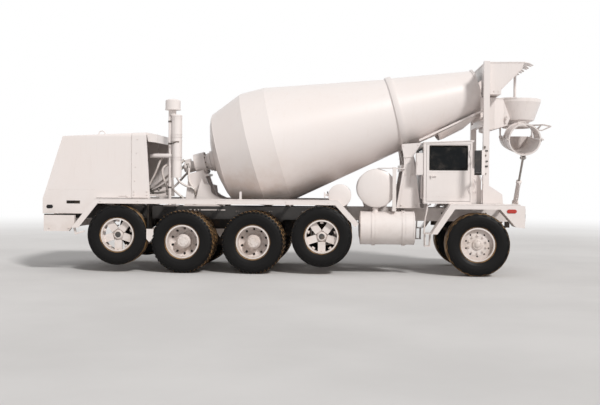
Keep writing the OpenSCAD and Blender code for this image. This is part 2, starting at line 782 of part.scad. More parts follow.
ped_top = 1990;
ped_in = 540;
ped_out = 690;
rear_ped_half = 300;
module pedestals() {
  color(paint) {
    sides() {
      slab(ped_in, ped_out) polygon([
        [1810, rail_top + seat], [2250, rail_top + seat], [2140, ped_top], [1950, ped_top]
      ]);
      slab(ped_out - 30, ped_out - 18) polygon([
        [1950, ped_top - 60], [2140, ped_top - 60], [2115, 2130], [2262, 2380], [1900, 2350], [1940, 2120]
      ]);
      difference() {
        union() for (k = [-1, 1])
          roller_place(1) translate([-45, -60, k * (roller_w / 2 + fork_gap + fork_t / 2) - fork_t / 2])
            cube([400, 120, fork_t]);
        roller_place(1) translate([0, 0, -120]) cylinder(h = 240, r = roller_pin_r + fit);
      }
    }
    block([1900, -ped_in - 1, ped_top - 130], [2200, ped_in + 1, ped_top - 10]);
    block([1830, -ped_in - 1, rail_top + seat], [2230, ped_in + 1, rail_top + 30]);
    sides() slab(rear_ped_half - 60, rear_ped_half) polygon([
      [-2160, rail_top + seat], [-1560, rail_top + seat], [-1750, 1700], [-1800, 1870], [-2080, 1790], [-2120, 1500]
    ]);
    block([-2160, -rail_out, rail_top + seat], [-1560, rail_out, rail_top + 25]);
    drum_axis() translate([gear_r + 6, -rear_ped_half, -1060]) cube([40, 2 * rear_ped_half, 160]);
  }
}

gear_r = 215;
gear_s0 = -1120;
gear_s1 = -812;
motor_s = -1330;
module drum_drive() {
  color([0.55, 0.55, 0.53]) drum_axis() {
    difference() {
      union() {
        translate([0, 0, gear_s0]) cylinder(h = gear_s1 - gear_s0, r = 150);
        translate([0, 0, gear_s0]) cylinder(h = 210, r = gear_r);
        translate([0, 0, gear_s1 - 40]) cylinder(h = 40, r = 175);
        translate([0, 0, motor_s]) cylinder(h = gear_s0 - motor_s + 1, r = 105);
        translate([0, 0, motor_s - 30]) cylinder(h = 31, r = 70);
        translate([gear_r - 40, -160, -1060]) cube([46 - seat, 320, 120]);
        translate([-150, -50, motor_s + 20]) cube([60, 100, 120]);
      }
      translate([0, 0, gear_s1 - 100]) cylinder(h = 200, r = shaft_r + fit);
    }
  }
}

// Hydraulic hoses from the pump on the engine to the drum's motor: a route for each
hose_r = 19;
HOSE_ROUTES = [
  [[-2900, -150, 1500], [-2760, -180, 1520], [-2600, -230, 1620],
    [-2440, -240, 1800], [-2330, -160, 1960], [-2230, -90, 2040]],
  [[-2900, -60, 1460], [-2740, -80, 1470], [-2560, -120, 1560],
    [-2440, -110, 1740], [-2350, -20, 1860], [-2262, 30, 1925]],
  [[-2900, 60, 1430], [-2700, 90, 1400], [-2500, 130, 1440],
    [-2380, 140, 1580], [-2290, 120, 1740], [-2150, 110, 1840]]
];
hose_sides = 10;
function bez(p, t) = len(p) == 1 ? p[0] : bez([for (i = [0 : len(p) - 2]) p[i] * (1 - t) + p[i + 1] * t], t);
function unit(v) = v / norm(v);
function hose_ring(p, t) =
  let (c = bez(p, t), d = unit(bez(p, min(1, t + 0.01)) - bez(p, max(0, t - 0.01))))
  let (u = unit(cross(d, [0, 1, 0])), v = cross(d, u))
  [for (k = [0 : hose_sides - 1]) c + hose_r * (cos(360 * k / hose_sides) * u + sin(360 * k / hose_sides) * v)];
module hose(route) {
  n = 16;
  m = hose_sides;
  rings = [for (i = [0 : n]) hose_ring(route, i / n)];
  polyhedron(
    points = [for (r = rings) each r],
    faces = concat(
      [[for (k = [0 : m - 1]) k]],
      [for (i = [0 : n - 1]) for (k = [0 : m - 1]) [m * i + k, m * i + m + k, m * i + m + (k + 1) % m]],
      [for (i = [0 : n - 1]) for (k = [0 : m - 1]) [m * i + k, m * i + m + (k + 1) % m, m * i + (k + 1) % m]],
      [[for (k = [m - 1 : -1 : 0]) m * n + k]]
    )
  );
}
module hoses() {
  color(dark) for (p = HOSE_ROUTES) hose(p);
}

stack_y = -620;
muffler_r = 95;
module stacks() {
  color(paint) {
    translate([-2376, stack_y, rail_top + 25 + seat]) cylinder(h = 2970 - rail_top - 25, r = 27);
    translate([-2320, stack_y, 2965]) cylinder(h = 172, r = 140);
    translate([-2320, stack_y, 2870]) cylinder(h = 96, r = 60);
    translate([-2250, stack_y, 1715]) cylinder(h = 1162, r = muffler_r);
    for (z = [2045, 2460, 2840]) translate([-2250, stack_y, z]) cylinder(h = 30, r = muffler_r + 8);
    for (z = [1900, 2600]) block([-2395, stack_y - 20, z], [-2250, stack_y + 20, z + 40]);
    bar([-2740, stack_y, 2120], [-2250, stack_y, 2120], 42);
    block([-2480, stack_y - 90, rail_top + seat], [-2250, -in_y, rail_top + 26]);
  }
}

water_x = 1440;
water_z = 1547;
oil_x = 785;
oil_z = 1408;
oil_half = 1040;
post_x = 1720;
fuel_x0 = 1165;
fuel_x1 = 2110;
fuel_z = 833;
fuel_y = 900;
STRAPS = [1360, 1900];
module tanks() {
  color(paint) {
    translate([water_x, 0, water_z]) rotate([90, 0, 0]) cylinder(h = 2040, r = water_r, center = true);
    sides() {
      for (y = [360, 960]) translate([water_x, y, water_z]) rotate([90, 0, 0]) cylinder(h = 30, r = water_r + 8);
      slab(in_y, rail_out) polygon([
        [water_x - 200, rail_top + seat], [water_x + 200, rail_top + seat], [water_x + 240, water_z - 240],
        [water_x - 240, water_z - 240]
      ]);
      slab(in_y, rail_out) polygon([
        [oil_x - 120, rail_top + seat], [oil_x + 120, rail_top + seat], [oil_x + 150, oil_z - 140],
        [oil_x - 150, oil_z - 140]
      ]);
      translate([fuel_x0, fuel_y, fuel_z]) rotate([0, 90, 0]) cylinder(h = fuel_x1 - fuel_x0, r = fuel_r);
      for (x = STRAPS) {
        translate([x, fuel_y, fuel_z]) rotate([0, 90, 0]) cylinder(h = 60, r = fuel_r + 6);
        beam(x, x + 60) polygon([
          [rail_out + seat, rail_low + 20], [rail_out + seat, rail_top - 20], [fuel_y - 100, rail_top - 60],
          [fuel_y, fuel_z - fuel_r - 20], [fuel_y - 80, fuel_z - fuel_r - 20], [rail_out + seat + 60, fuel_z - 120]
        ]);
      }
      translate([fuel_x0 + 260, fuel_y + 40, fuel_z + fuel_r - 20]) cylinder(h = 55, r = 50);
    }
    translate([oil_x, 0, oil_z]) rotate([90, 0, 0]) cylinder(h = 2 * oil_half, r = oil_r, center = true);
    block([post_x, -1120, 1138], [post_x + 65, -rail_out - seat, 1170]);
    block([post_x, -1120, 1138], [post_x + 65, -1070, 1921]);
  }
}

hub_end = 1130;
spindle_r = 55;
front_spindle_r = 45;
pad = 100;
module leaf_spring(x, z) {
  slab(in_y, rail_out) polygon([
    [x - 640, rail_low - 70], [x - 640, rail_low - 100], [x - 110, z], [x + 110, z], [x + 640, rail_low - 100],
    [x + 640, rail_low - 70], [x + 110, z + 110], [x - 110, z + 110]
  ]);
  for (k = [-1, 1]) block([x + k * 640 - 40, in_y, rail_low - 110], [x + k * 640 + 40, rail_out, rail_low - seat]);
}
module lift_axle(x) {
  translate([x, 0, lift_z]) rotate([90, 0, 0]) {
    cylinder(h = 2 * 880, r = 62, center = true);
    cylinder(h = 2 * (hub_end - 30), r = front_spindle_r, center = true);
  }
  sides() {
    slab(in_y, rail_out) polygon([
      [x - 70, lift_z - 80], [x + 70, lift_z - 80], [x + 470, rail_low - 90], [x + 470, rail_low - 20],
      [x + 70, lift_z + 60], [x - 70, lift_z + 60]
    ]);
    block([x + 400, in_y, rail_low - 100], [x + 520, rail_out, rail_low - seat]);
    translate([x, in_y + rail_flange / 2, lift_z + 50]) cylinder(h = rail_low - lift_z - 50 - seat, r = 105);
  }
}
eye_z0 = front_tyre_r - 62;
eye_z1 = front_tyre_r + 62;
kingpin_r = 25;
eye_clear = 75;
module beam_axles() {
  color([0.86, 0.84, 0.83]) {
    difference() {
      union() {
        beam(front_axle_x - 55, front_axle_x + 55) polygon([
          [-kingpin_y, eye_z0], [-kingpin_y, eye_z1], [-in_y + 20, eye_z1],
          [-in_y + 80, 540], [in_y - 80, 540], [in_y - 20, eye_z1],
          [kingpin_y, eye_z1], [kingpin_y, eye_z0], [kingpin_y - eye_clear, eye_z0], [in_y - 20, 400],
          [-in_y + 20, 400], [-kingpin_y + eye_clear, eye_z0]
        ]);
        sides() translate([front_axle_x, kingpin_y, eye_z0]) cylinder(h = eye_z1 - eye_z0, r = 60);
      }
      sides() translate([front_axle_x, kingpin_y, eye_z0 - 1]) cylinder(h = 140, r = kingpin_r + fit);
    }
    sides() leaf_spring(front_axle_x, eye_z1 - 30);
    lift_axle(pusher_x);
    lift_axle(tag_x);
  }
}

module knuckle() {
  color([0.3, 0.3, 0.3]) translate([front_axle_x, kingpin_y, 0]) {
    translate([0, 0, eye_z0 - 40]) cylinder(h = eye_z1 - eye_z0 + 80, r = kingpin_r);
    for (z = [eye_z0 - 40, eye_z1 + seat]) translate([0, 0, z]) {
      cylinder(h = 40 - seat, r = 60);
      translate([-60, 0, 0]) cube([120, 90, 40 - seat]);
    }
    block([-60, 66, eye_z0 - 40], [60, 90, eye_z1 + 40]);
    translate([0, 60 + 29, front_tyre_r]) rotate([-90, 0, 0])
      cylinder(h = hub_end - 30 - kingpin_y - 89, r = front_spindle_r);
  }
}

module drive_axle(x) {
  translate([x, 0, drive_tyre_r]) {
    rotate([90, 0, 0]) {
      cylinder(h = 2 * 690, r = 80, center = true);
      cylinder(h = 2 * (hub_end - 30), r = spindle_r, center = true);
    }
    rotate([0, 90, 0]) rotate_extrude() polygon([
      [0, -170], [120, -165], [185, -110], [210, -40], [210, 40], [150, 120], [90, 220], [70, 330], [0, 330]
    ]);
  }
}
beam_mid = (drive_1_x + drive_2_x) / 2;
shaft_z = 880;
module drive_train() {
  color([0.3, 0.3, 0.3]) {
    drive_axle(drive_1_x);
    drive_axle(drive_2_x);
    sides() {
      slab(rail_out - 20, rail_out + 80) polygon([
        [drive_2_x - 110, 475], [drive_1_x + 110, 475], [drive_1_x + 110, 640], [drive_1_x - 200, 640],
        [beam_mid + 160, 560], [beam_mid + 120, 640], [beam_mid - 120, 640], [beam_mid - 160, 560],
        [drive_2_x + 200, 640], [drive_2_x - 110, 640]
      ]);
      slab(in_y, rail_out + 40) polygon([
        [beam_mid - 110, 560], [beam_mid + 110, 560], [beam_mid + 260, rail_low - seat],
        [beam_mid - 260, rail_low - seat]
      ]);
    }
    translate([beam_mid, 0, 740]) rotate([90, 0, 0]) cylinder(h = 2 * in_y + 4, r = 50, center = true);
    bar([drive_2_x + 150, 0, drive_tyre_r], [drive_1_x - 150, 0, drive_tyre_r], 42);
    bar([drive_1_x + 300, 0, drive_tyre_r], [-200, 0, 720], 42);
    block([-260, -190, 640], [40, 190, cross_low - seat]);
    bar([-2720, 0, shaft_z], [-240, 0, shaft_z], 45);
    block([engine_x1 + seat, -210, 820], [-2700, 210, 1160]);
    sides() block([-3000, 209, 1060], [-2900, rail_out - rail_t - seat, 1120]);
  }
}

// Half outline of a tyre's section: radius, distance from its middle plane
function tyre_half(r, w, rw) = [
  [rim_r + seat, rw / 2 - rim_t - seat], [rim_r + rim_flange + 4, rw / 2 - rim_t - seat],
  [rim_r + rim_flange + 12, rw / 2 + 2], [r * 0.66, w / 2 - 8], [r * 0.75, w / 2],
  [r * 0.84, w / 2 - 3], [r - 46, w / 2 - 14], [r - 16, w / 2 - 26], [r, w / 2 - 52]
];
function flip(p) = [for (i = [len(p) - 1 : -1 : 0]) [p[i][0], -p[i][1]]];
function tyre_r(kind) = kind == "front" ? front_tyre_r : kind == "drive" ? drive_tyre_r : lift_tyre_r;
function tyre_w(kind) = kind == "front" ? front_tyre_w : kind == "drive" ? drive_tyre_w : lift_tyre_w;
function rim_w(kind) = kind == "front" ? 330 : 220;
function tyre_rows(kind) =
  kind == "front" ? [front_y] : kind == "drive" ? [outer_y, outer_y - twin_pitch] : [lift_y];

// A turned form round a wheel's own axle, its outline given as radius and distance from the middle
module turned(w) {
  mirror([0, w[2] < 0 ? 1 : 0, 0]) translate([w[1], 0, w[3]]) rotate([-90, 0, 0]) rotate_extrude($fn = 96)
    children();
}
module tyre(w) {
  k = w[4];
  half = tyre_half(tyre_r(k), tyre_w(k), rim_w(k));
  color([0.05, 0.05, 0.05]) for (y = tyre_rows(k)) turned(w) translate([0, y]) polygon(concat(half, flip(half)));
}

// Section of a rim round the middle plane of its tyre
module rim_section(rw) {
  polygon([
    [rim_r - rim_t, -rw / 2], [rim_r + rim_flange, -rw / 2], [rim_r + rim_flange, -rw / 2 + rim_t],
    [rim_r, -rw / 2 + rim_t], [rim_r, rw / 2 - rim_t], [rim_r + rim_flange, rw / 2 - rim_t],
    [rim_r + rim_flange, rw / 2], [rim_r - rim_t, rw / 2]
  ]);
}
// Section of a disc: from its rim at y0 to its flat middle at y1
module disc_section(y0, y1, t) {
  p = [
    [rim_r - rim_t + 4, y0], [rim_r - rim_t + 4, y0 + t], [190, y1 + t], [80, y1 + t], [80, y1], [186, y1]
  ];
  polygon(t > 0 ? p : [for (i = [5 : -1 : 0]) p[i]]);
}
module hub_section(bore, y0, y1, r) {
  polygon([
    [bore, y0], [r, y0], [r, y1 - 60], [r - 24, y1 - 20], [r - 34, y1], [0, y1], [0, y1 - 20], [bore, y1 - 20]
  ]);
}
HAND_HOLES = 10;
module hand_holes(w, y, r, hole) {
  mirror([0, w[2] < 0 ? 1 : 0, 0]) translate([w[1], y, w[3]]) rotate([-90, 0, 0])
    for (i = [0 : HAND_HOLES - 1]) rotate([0, 0, (i + 0.5) * 360 / HAND_HOLES]) translate([r, 0, -150])
      cylinder(h = 300, r = hole);
}
module front_wheel(w) {
  difference() {
    union() {
      turned(w) {
        translate([0, front_y]) rim_section(rim_w("front"));
        disc_section(front_y + 50, front_y + 80, 16);
        hub_section(front_spindle_r + fit, kingpin_y + 100, hub_end, 118);
      }
    }
    hand_holes(w, front_y + 90, 208, 16);
  }
}
module drive_wheel(w) {
  difference() {
    union() turned(w) {
      for (y = tyre_rows("drive")) translate([0, y]) rim_section(rim_w("drive"));
      disc_section(outer_y - 95, twin_y + 2, 14);
      disc_section(twin_y - twin_pitch / 2 + 95, twin_y - 1, -14);
      hub_section(spindle_r + fit, twin_y - 160, hub_end, 130);
    }
    hand_holes(w, twin_y, 228, 22);
  }
}
SPOKES = 5;
module lift_wheel(w) {
  turned(w) {
    translate([0, lift_y]) rim_section(rim_w("lift"));
    hub_section(front_spindle_r + fit, lift_y - 120, hub_end, 105);
  }
  mirror([0, w[2] < 0 ? 1 : 0, 0]) translate([w[1], lift_y, w[3]]) rotate([-90, 0, 0])
    for (i = [0 : SPOKES - 1]) rotate([0, 0, 90 + i * 360 / SPOKES]) {
      translate([95, -66, -20]) cube([rim_r - rim_t - 94, 132, 60]);
      translate([95, -14, -80]) cube([rim_r - rim_t - 94, 28, 80]);
    }
}
module wheel(w) {
  color([0.9, 0.88, 0.86]) {
    if (w[4] == "front") front_wheel(w);
    if (w[4] == "drive") drive_wheel(w);
    if (w[4] == "lift") lift_wheel(w);
  }
}

// The chute's own frame: X along the stowed trough, Z up from the pivot
module chute_frame() {
  translate([pivot_x, 0, 0]) rotate([0, 0, chute_yaw]) children();
}
arm_in = chute_r + 16;
arm_t = 16;
pin_r = 25;
lug_z = 1290;
lug_pin_r = 18;
swivel_z = rail_top + seat;
lattice_a = 48.7;
lattice_r = 736;
module chute_pivot() {
  color(paint) chute_frame() {
    difference() {
      union() {
        translate([0, 0, ring_low]) cylinder(h = ring_top - ring_low, r = spout_r + 60);
        sides() {
          block([-60, spout_r, ring_low], [60, arm_in + arm_t, ring_top]);
          slab(arm_in, arm_in + arm_t) {
            translate([-60, chute_z]) square([120, ring_top - chute_z]);
            translate([0, chute_z]) circle(60);
          }
        }
        rotate([0, 0, lattice_a]) {
          slab(-8, 8) difference() {
            polygon([
              [spout_r + 20, ring_low], [spout_r + 20, ring_top], [590, ring_top - 6], [lattice_r, ring_low - 4],
              [lattice_r - 8, ring_low - 24], [540, ring_low - 90], [spout_r + 90, ring_low - 60],
              [spout_r + 50, ring_low]
            ]);
            polygon([
              [spout_r + 90, ring_top - 26], [500, ring_top - 30], [420, ring_low - 55], [spout_r + 100, ring_low - 42]
            ]);
            polygon([
              [530, ring_top - 30], [570, ring_top - 30], [680, ring_low - 18], [550, ring_low - 68],
              [470, ring_low - 62]
            ]);
          }
          block([spout_r + 20, -34, ring_top - 16], [585, 34, ring_top - 6]);
        }
      }
      translate([0, 0, ring_low - 1]) cylinder(h = 60, r = spout_r + seat);
      slab(-400, 400) translate([0, chute_z]) circle(pin_r + fit);
    }
    translate([0, 0, swivel_z]) cylinder(h = 40, r = 90);
    sides() difference() {
      slab(34, 54) {
        translate([-45, swivel_z + 39]) square([90, lug_z - swivel_z - 39]);
        translate([0, lug_z]) circle(45);
      }
      slab(33, 55) translate([0, lug_z]) circle(lug_pin_r + fit);
    }
  }
}

// The trough's own frame: X along its middle line, from the lifting pivot
module trough_frame() {
  chute_frame() translate([0, 0, chute_z]) rotate([0, chute_slope, 0]) children();
}
split_gap = 3;
eye_x = 830;
eye_drop = 335;
eye_pin_r = 12;
// The rod's eye is opened, because the rod follows the chute by a ratio
eye_play = 14;
hinge_pin_d = 12;
tip_hinge_x = chute_reach + 2.5;
band_h = 15;
module half_pipe(x0, x1, r, t) {
  translate([x0, 0, 0]) rotate([0, 90, 0]) difference() {
    cylinder(h = x1 - x0, r = r, $fn = 96);
    translate([0, 0, -1]) cylinder(h = x1 - x0 + 2, r = r - t, $fn = 96);
    translate([-2 * r - split_gap, -r - 1, -2]) cube([2 * r + 2 * split_gap, 2 * r + 2, x1 - x0 + 4]);
  }
}
module chute_main() {
  color(paint) trough_frame() {
    half_pipe(-chute_tail, chute_reach, chute_r, chute_t);
    half_pipe(chute_reach - 15, chute_reach, chute_r + band_h, band_h + chute_t + 2);
    half_pipe(-chute_tail, -chute_tail + 8, chute_r, chute_r);
    sides() {
      slab(chute_r - chute_t, chute_r + 4) {
        translate([0, -20]) circle(50);
        translate([chute_reach - 60, -40]) square([52, 34]);
      }
      slab(chute_r - chute_t, arm_in + arm_t + 4) circle(pin_r);
      slab(chute_r + 3, chute_r + 30) {
        translate([chute_reach - 60, -40]) square([30, 34]);
        translate([chute_reach - 60, -14]) square([62.5, 14]);
      }
      slab(chute_r + band_h + 1.5, chute_r + 30) translate([tip_hinge_x, 0]) circle(14);
      slab(26, 42) polygon([
        [eye_x - 70, -chute_r + 16], [eye_x + 70, -chute_r + 16], [eye_x + 28, -eye_drop], [eye_x, -eye_drop - 30],
        [eye_x - 28, -eye_drop]
      ]);
    }
    slab(-42, 42) translate([eye_x, -eye_drop]) circle(eye_pin_r);
    sides() slab(chute_r + 29, chute_r + 46) translate([tip_hinge_x, 0]) circle(hinge_pin_d / 2);
  }
}
module chute_fold() {
  color(paint) trough_frame() {
    mirror([0, 0, 1]) {
      half_pipe(chute_reach - tip_len, chute_reach, chute_r, chute_t);
      half_pipe(chute_reach - 15, chute_reach, chute_r + band_h, band_h + chute_t + 2);
      half_pipe(chute_reach - tip_len, chute_reach - tip_len + 12, chute_r + band_h, band_h + chute_t + 2);
    }
    sides() difference() {
      union() {
        slab(chute_r + 33, chute_r + 43) {
          translate([tip_hinge_x, 0]) circle(16);
          translate([tip_hinge_x - 70, 4]) square([70, 12]);
        }
        slab(chute_r - 6, chute_r + 43) translate([tip_hinge_x - 70, 8]) square([25, 24]);
      }
      slab(chute_r + 20, chute_r + 50) translate([tip_hinge_x, 0]) circle(hinge_pin_d / 2 + fit);
    }
  }
}

barrel_r = 42;
rod_r = 20;
piston_r = 34;
barrel_len = 560;
piston_at = 340;
lift_dx = eye_x * cos(chute_slope) - eye_drop * sin(chute_slope);
lift_dz = chute_z - eye_x * sin(chute_slope) - eye_drop * cos(chute_slope) - lug_z;
lift_len = sqrt(lift_dx * lift_dx + lift_dz * lift_dz);
lift_tilt = atan2(lift_dx, lift_dz);
module lift_axis() {
  chute_frame() translate([0, 0, lug_z]) rotate([0, lift_tilt, 0]) children();
}
module lift_barrel() {
  color(paint) lift_axis() difference() {
    union() {
      translate([0, 0, 52]) cylinder(h = barrel_len - 52, r = barrel_r);
      slab(-32, 32) translate([-36, 0]) square([72, 53]);
      translate([0, 0, barrel_len - 40]) cylinder(h = 40, r = barrel_r + 8);
      slab(-32, 32) circle(38);
      slab(-56, 56) circle(lug_pin_r);
    }
    translate([0, 0, 58]) cylinder(h = barrel_len - 88, r = piston_r + fit);
    translate([0, 0, barrel_len - 50]) cylinder(h = 60, r = rod_r + fit);
  }
}
module lift_rod() {
  color([0.6, 0.6, 0.6]) lift_axis() difference() {
    union() {
      translate([0, 0, piston_at]) cylinder(h = lift_len - piston_at - 20, r = rod_r);
      translate([0, 0, piston_at]) cylinder(h = 40, r = piston_r);
      slab(-22, 22) translate([0, lift_len]) circle(38);
    }
    slab(-23, 23) translate([0, lift_len]) circle(eye_pin_r + eye_play);
  }
}

// Lamps: red ovals on the sides, round lamps at the front, red lamps at the rear
module lamps() {
  color([0.6, 0.05, 0.04]) sides() {
    slab(tyre_out + 10 + seat, tyre_out + 22) translate([3790, 1157]) oval(170, 68);
    translate([nose_x + seat, 1040, 1090]) rotate([0, 90, 0]) cylinder(h = 30, r = 85);
    for (y = [700, 880]) translate([bumper_x - 22, y, 880]) rotate([0, 90, 0]) cylinder(h = 22 - seat, r = 55);
  }
}

frame();
rear_bumper();
engine_block();
hood();
cowl();
grille();
rear_fenders();
front_fenders();
cab_shell();
cab_glass();
mirror([0, 1, 0]) door();  // door_right
door();  // door_left
mirror([0, 1, 0]) door_glass();  // door_glass_right
door_glass();  // door_glass_left
seat_module();  // seat
dash();
mast();
charge_hopper();
collector();
drip_shield();
pedestals();
drum_drive();
hoses();
stacks();
tanks();
beam_axles();
drive_train();
mirror([0, 1, 0]) knuckle();  // knuckle_right
knuckle();  // knuckle_left
roller(-1);  // roller_right
roller(1);  // roller_left
drum_shell();
drum_cone();
drum_blades();
chute_pivot();
chute_main();
chute_fold();
lift_barrel();
lift_rod();
lamps();
for (w = WHEELS) tyre(w);
for (w = WHEELS) wheel(w);
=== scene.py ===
"""Dresses a packed front discharge concrete mixer truck: treads, trim, finishes and a plain studio."""
from math import atan2, cos, hypot, pi, radians, sin

import bpy
from bpy.props import FloatProperty, FloatVectorProperty, IntProperty, PointerProperty
from mathutils import Matrix, Vector


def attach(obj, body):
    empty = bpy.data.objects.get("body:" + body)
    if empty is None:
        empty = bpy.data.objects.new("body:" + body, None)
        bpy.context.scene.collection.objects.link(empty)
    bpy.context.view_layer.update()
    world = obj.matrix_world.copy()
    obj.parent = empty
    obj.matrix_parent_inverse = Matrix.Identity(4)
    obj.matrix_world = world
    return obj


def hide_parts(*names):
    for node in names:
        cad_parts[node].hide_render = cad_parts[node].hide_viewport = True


bl_info = {
    "name": "Concrete mixer truck",
    "version": (1, 0, 0),
    "blender": (4, 5, 0),
    "location": "3D View > Sidebar > Mixer",
    "description": "Treads, trim, finishes and studio for a packed front discharge mixer truck",
    "category": "Object",
}

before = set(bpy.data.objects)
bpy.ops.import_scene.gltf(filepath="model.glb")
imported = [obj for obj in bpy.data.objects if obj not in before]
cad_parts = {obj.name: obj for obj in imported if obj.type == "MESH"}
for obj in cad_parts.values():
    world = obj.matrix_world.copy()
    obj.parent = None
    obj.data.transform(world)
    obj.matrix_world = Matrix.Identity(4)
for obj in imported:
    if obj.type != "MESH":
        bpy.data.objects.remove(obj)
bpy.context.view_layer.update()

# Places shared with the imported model, in metres
HOOD_SIDE, CAB_SIDE, FENDER_SIDE = 1.1001, 0.9501, 1.2201
HOPPER_SIDE, COLLECTOR_SIDE, COLLECTOR_NOSE, RAIL_SIDE = 0.7448, 0.4702, 0.3452, 0.4301
STACK, FUEL_TANK, HEADLAMP = (-2.25, -0.62), (0.9, 0.833), (0, 1.04, 1.09)
TAIL_LAMPS = (0.7, 0.88)
CHUTE_SLOPE, CHUTE_PIN, LIFT_PIN, ROD_EYE = radians(6.0), 2.526, 1.29, (0.83, -0.335)
WHEELS = {
    "front_right": (3.22, -1, 0.562, "front"), "front_left": (3.22, 1, 0.562, "front"),
    "drive_1_right": (-0.76, -1, 0.565, "drive"), "drive_1_left": (-0.76, 1, 0.565, "drive"),
    "drive_2_right": (-2.03, -1, 0.565, "drive"), "drive_2_left": (-2.03, 1, 0.565, "drive"),
    "pusher_right": (0.47, -1, 0.677, "lift"), "pusher_left": (0.47, 1, 0.677, "lift"),
    "tag_right": (-3.21, -1, 0.677, "lift"), "tag_left": (-3.21, 1, 0.677, "lift"),
}
DRUM_FRAME = Matrix.Translation((-0.91, 0, 2.24)) @ Matrix.Rotation(radians(75.4), 4, "Y")
CHUTE_FRAME = Matrix.Translation((4.08, 0, 0)) @ Matrix.Rotation(radians(-91.5), 4, "Z")
TROUGH_FRAME = CHUTE_FRAME @ Matrix.Translation((0, 0, CHUTE_PIN)) @ Matrix.Rotation(CHUTE_SLOPE, 4, "Y")
FLIP = Matrix.Rotation(pi, 4, "Z")
MIRROR = Matrix.Scale(-1, 4, (0, 1, 0))
AXES = {"X": (1, 0, 0), "Y": (0, 1, 0), "Z": (0, 0, 1)}
MERGE = 0.00005  # points nearer than this are one


class MixerSizes(bpy.types.PropertyGroup):
    tread_depth: FloatProperty(name="Tread depth", description="Depth of the grooves in the driven tyres",
                               default=0.019, min=0.004, max=0.03, unit="LENGTH")
    lugs: IntProperty(name="Lugs", description="Lugs round one driven tyre", default=44, min=24, max=64)
    nut_width: FloatProperty(name="Wheel nut", description="Width of a wheel nut over its corners",
                             default=0.038, min=0.02, max=0.06, unit="LENGTH")
    bolt_width: FloatProperty(name="Panel bolt", description="Width of a bolt head on the chassis",
                              default=0.03, min=0.01, max=0.05, unit="LENGTH")
    hose_width: FloatProperty(name="Hose", description="Outer diameter of a hydraulic hose",
                              default=0.042, min=0.015, max=0.06, unit="LENGTH")
    lens_mm: FloatProperty(name="Camera lens", description="Focal length of the scene's camera in millimetres",
                           default=51.0, min=20.0, max=120.0)


class MixerColours(bpy.types.PropertyGroup):
    paint: FloatVectorProperty(name="Paint", description="White body paint", subtype="COLOR", size=3,
                               default=(0.8, 0.745, 0.725))
    dust: FloatVectorProperty(name="Dust", description="Dried mud and cement dust", subtype="COLOR", size=3,
                              default=(0.36, 0.25, 0.165))
    rubber: FloatVectorProperty(name="Rubber", description="Tyre rubber", subtype="COLOR", size=3,
                                default=(0.009, 0.0085, 0.0085))
    steel: FloatVectorProperty(name="Steel", description="Bare steel", subtype="COLOR", size=3,
                               default=(0.42, 0.4, 0.38))
    # Near-black glass: painted shade of the dark cab behind the windows.
    glass: FloatVectorProperty(name="Glass", description="Tinted window glass", subtype="COLOR", size=3,
                               default=(0.012, 0.014, 0.016))
    lamp: FloatVectorProperty(name="Marker lamp", description="Red lens of the marker lamps", subtype="COLOR",
                              size=3, default=(0.55, 0.03, 0.015))


# ---- Modelling tools ----

def to_mode(mode):
    bpy.ops.object.mode_set(mode=mode)


def deselect():
    if bpy.context.object and bpy.context.object.mode != "OBJECT":
        to_mode("OBJECT")
    bpy.ops.object.select_all(action="DESELECT")


def only(piece):
    deselect()
    piece.select_set(True)
    bpy.context.view_layer.objects.active = piece
    return piece


def place(piece, matrix):
    piece.data.transform(matrix)
    return piece


def apply_place():
    bpy.ops.object.transform_apply(location=True, rotation=True, scale=True)


def mirrored(piece):
    """The piece turned into its mirror image on the vehicle's other side."""
    place(piece, MIRROR).data.flip_normals()
    return piece


def twin_of(piece, matrix):
    """A copy of the piece, moved by a matrix."""
    twin = piece.copy()
    twin.data = piece.data.copy()
    bpy.context.scene.collection.objects.link(twin)
    return place(twin, matrix)


def pick_faces():
    """Sets face selection with nothing selected, so that faces can be picked in object mode."""
    to_mode("EDIT")
    bpy.ops.mesh.select_mode(type="FACE")
    bpy.ops.mesh.select_all(action="DESELECT")
    to_mode("OBJECT")


def close_up(merge=0.0):
    """Merges points that lie together, turns the faces outwards and leaves edit mode."""
    bpy.ops.mesh.select_all(action="SELECT")
    if merge:
        bpy.ops.mesh.remove_doubles(threshold=merge)
    bpy.ops.mesh.normals_make_consistent(inside=False)
    to_mode("OBJECT")


def round_edges(piece, width, segments=2, angle=35):
    only(piece)
    bevel = piece.modifiers.new("edges", "BEVEL")
    bevel.width, bevel.segments, bevel.angle_limit = width, segments, radians(angle)
    bevel.limit_method = "ANGLE"
    bpy.ops.object.modifier_apply(modifier=bevel.name)
    return piece


def smooth(piece, angle=35):
    only(piece)
    bpy.ops.object.shade_smooth_by_angle(angle=radians(angle))
    return piece


def block(low, high, edge=0.003, segments=2):
    """A block between two corners with its edges rounded."""
    deselect()
    low, high = Vector(low), Vector(high)
    bpy.ops.mesh.primitive_cube_add(size=1, location=(low + high) / 2)
    piece = bpy.context.object
    piece.scale = high - low
    apply_place()
    return round_edges(piece, edge, segments) if edge else piece


def trace(points, closed=False):
    """A line drawn by extruding one vertex from point to point. Leaves the piece in edit mode."""
    deselect()
    bpy.ops.mesh.primitive_plane_add(size=0.01, location=(0, 0, 0))
    to_mode("EDIT")
    bpy.ops.mesh.select_mode(type="VERT")
    bpy.ops.mesh.select_all(action="SELECT")
    bpy.ops.mesh.merge(type="CENTER")
    bpy.ops.transform.translate(value=Vector(points[0]))
    for here, there in zip(points, points[1:]):
        bpy.ops.mesh.extrude_vertices_move(TRANSFORM_OT_translate={"value": Vector(there) - Vector(here)})
    if closed:
        bpy.ops.mesh.select_all(action="SELECT")
        bpy.ops.mesh.edge_face_add()
    return bpy.context.object


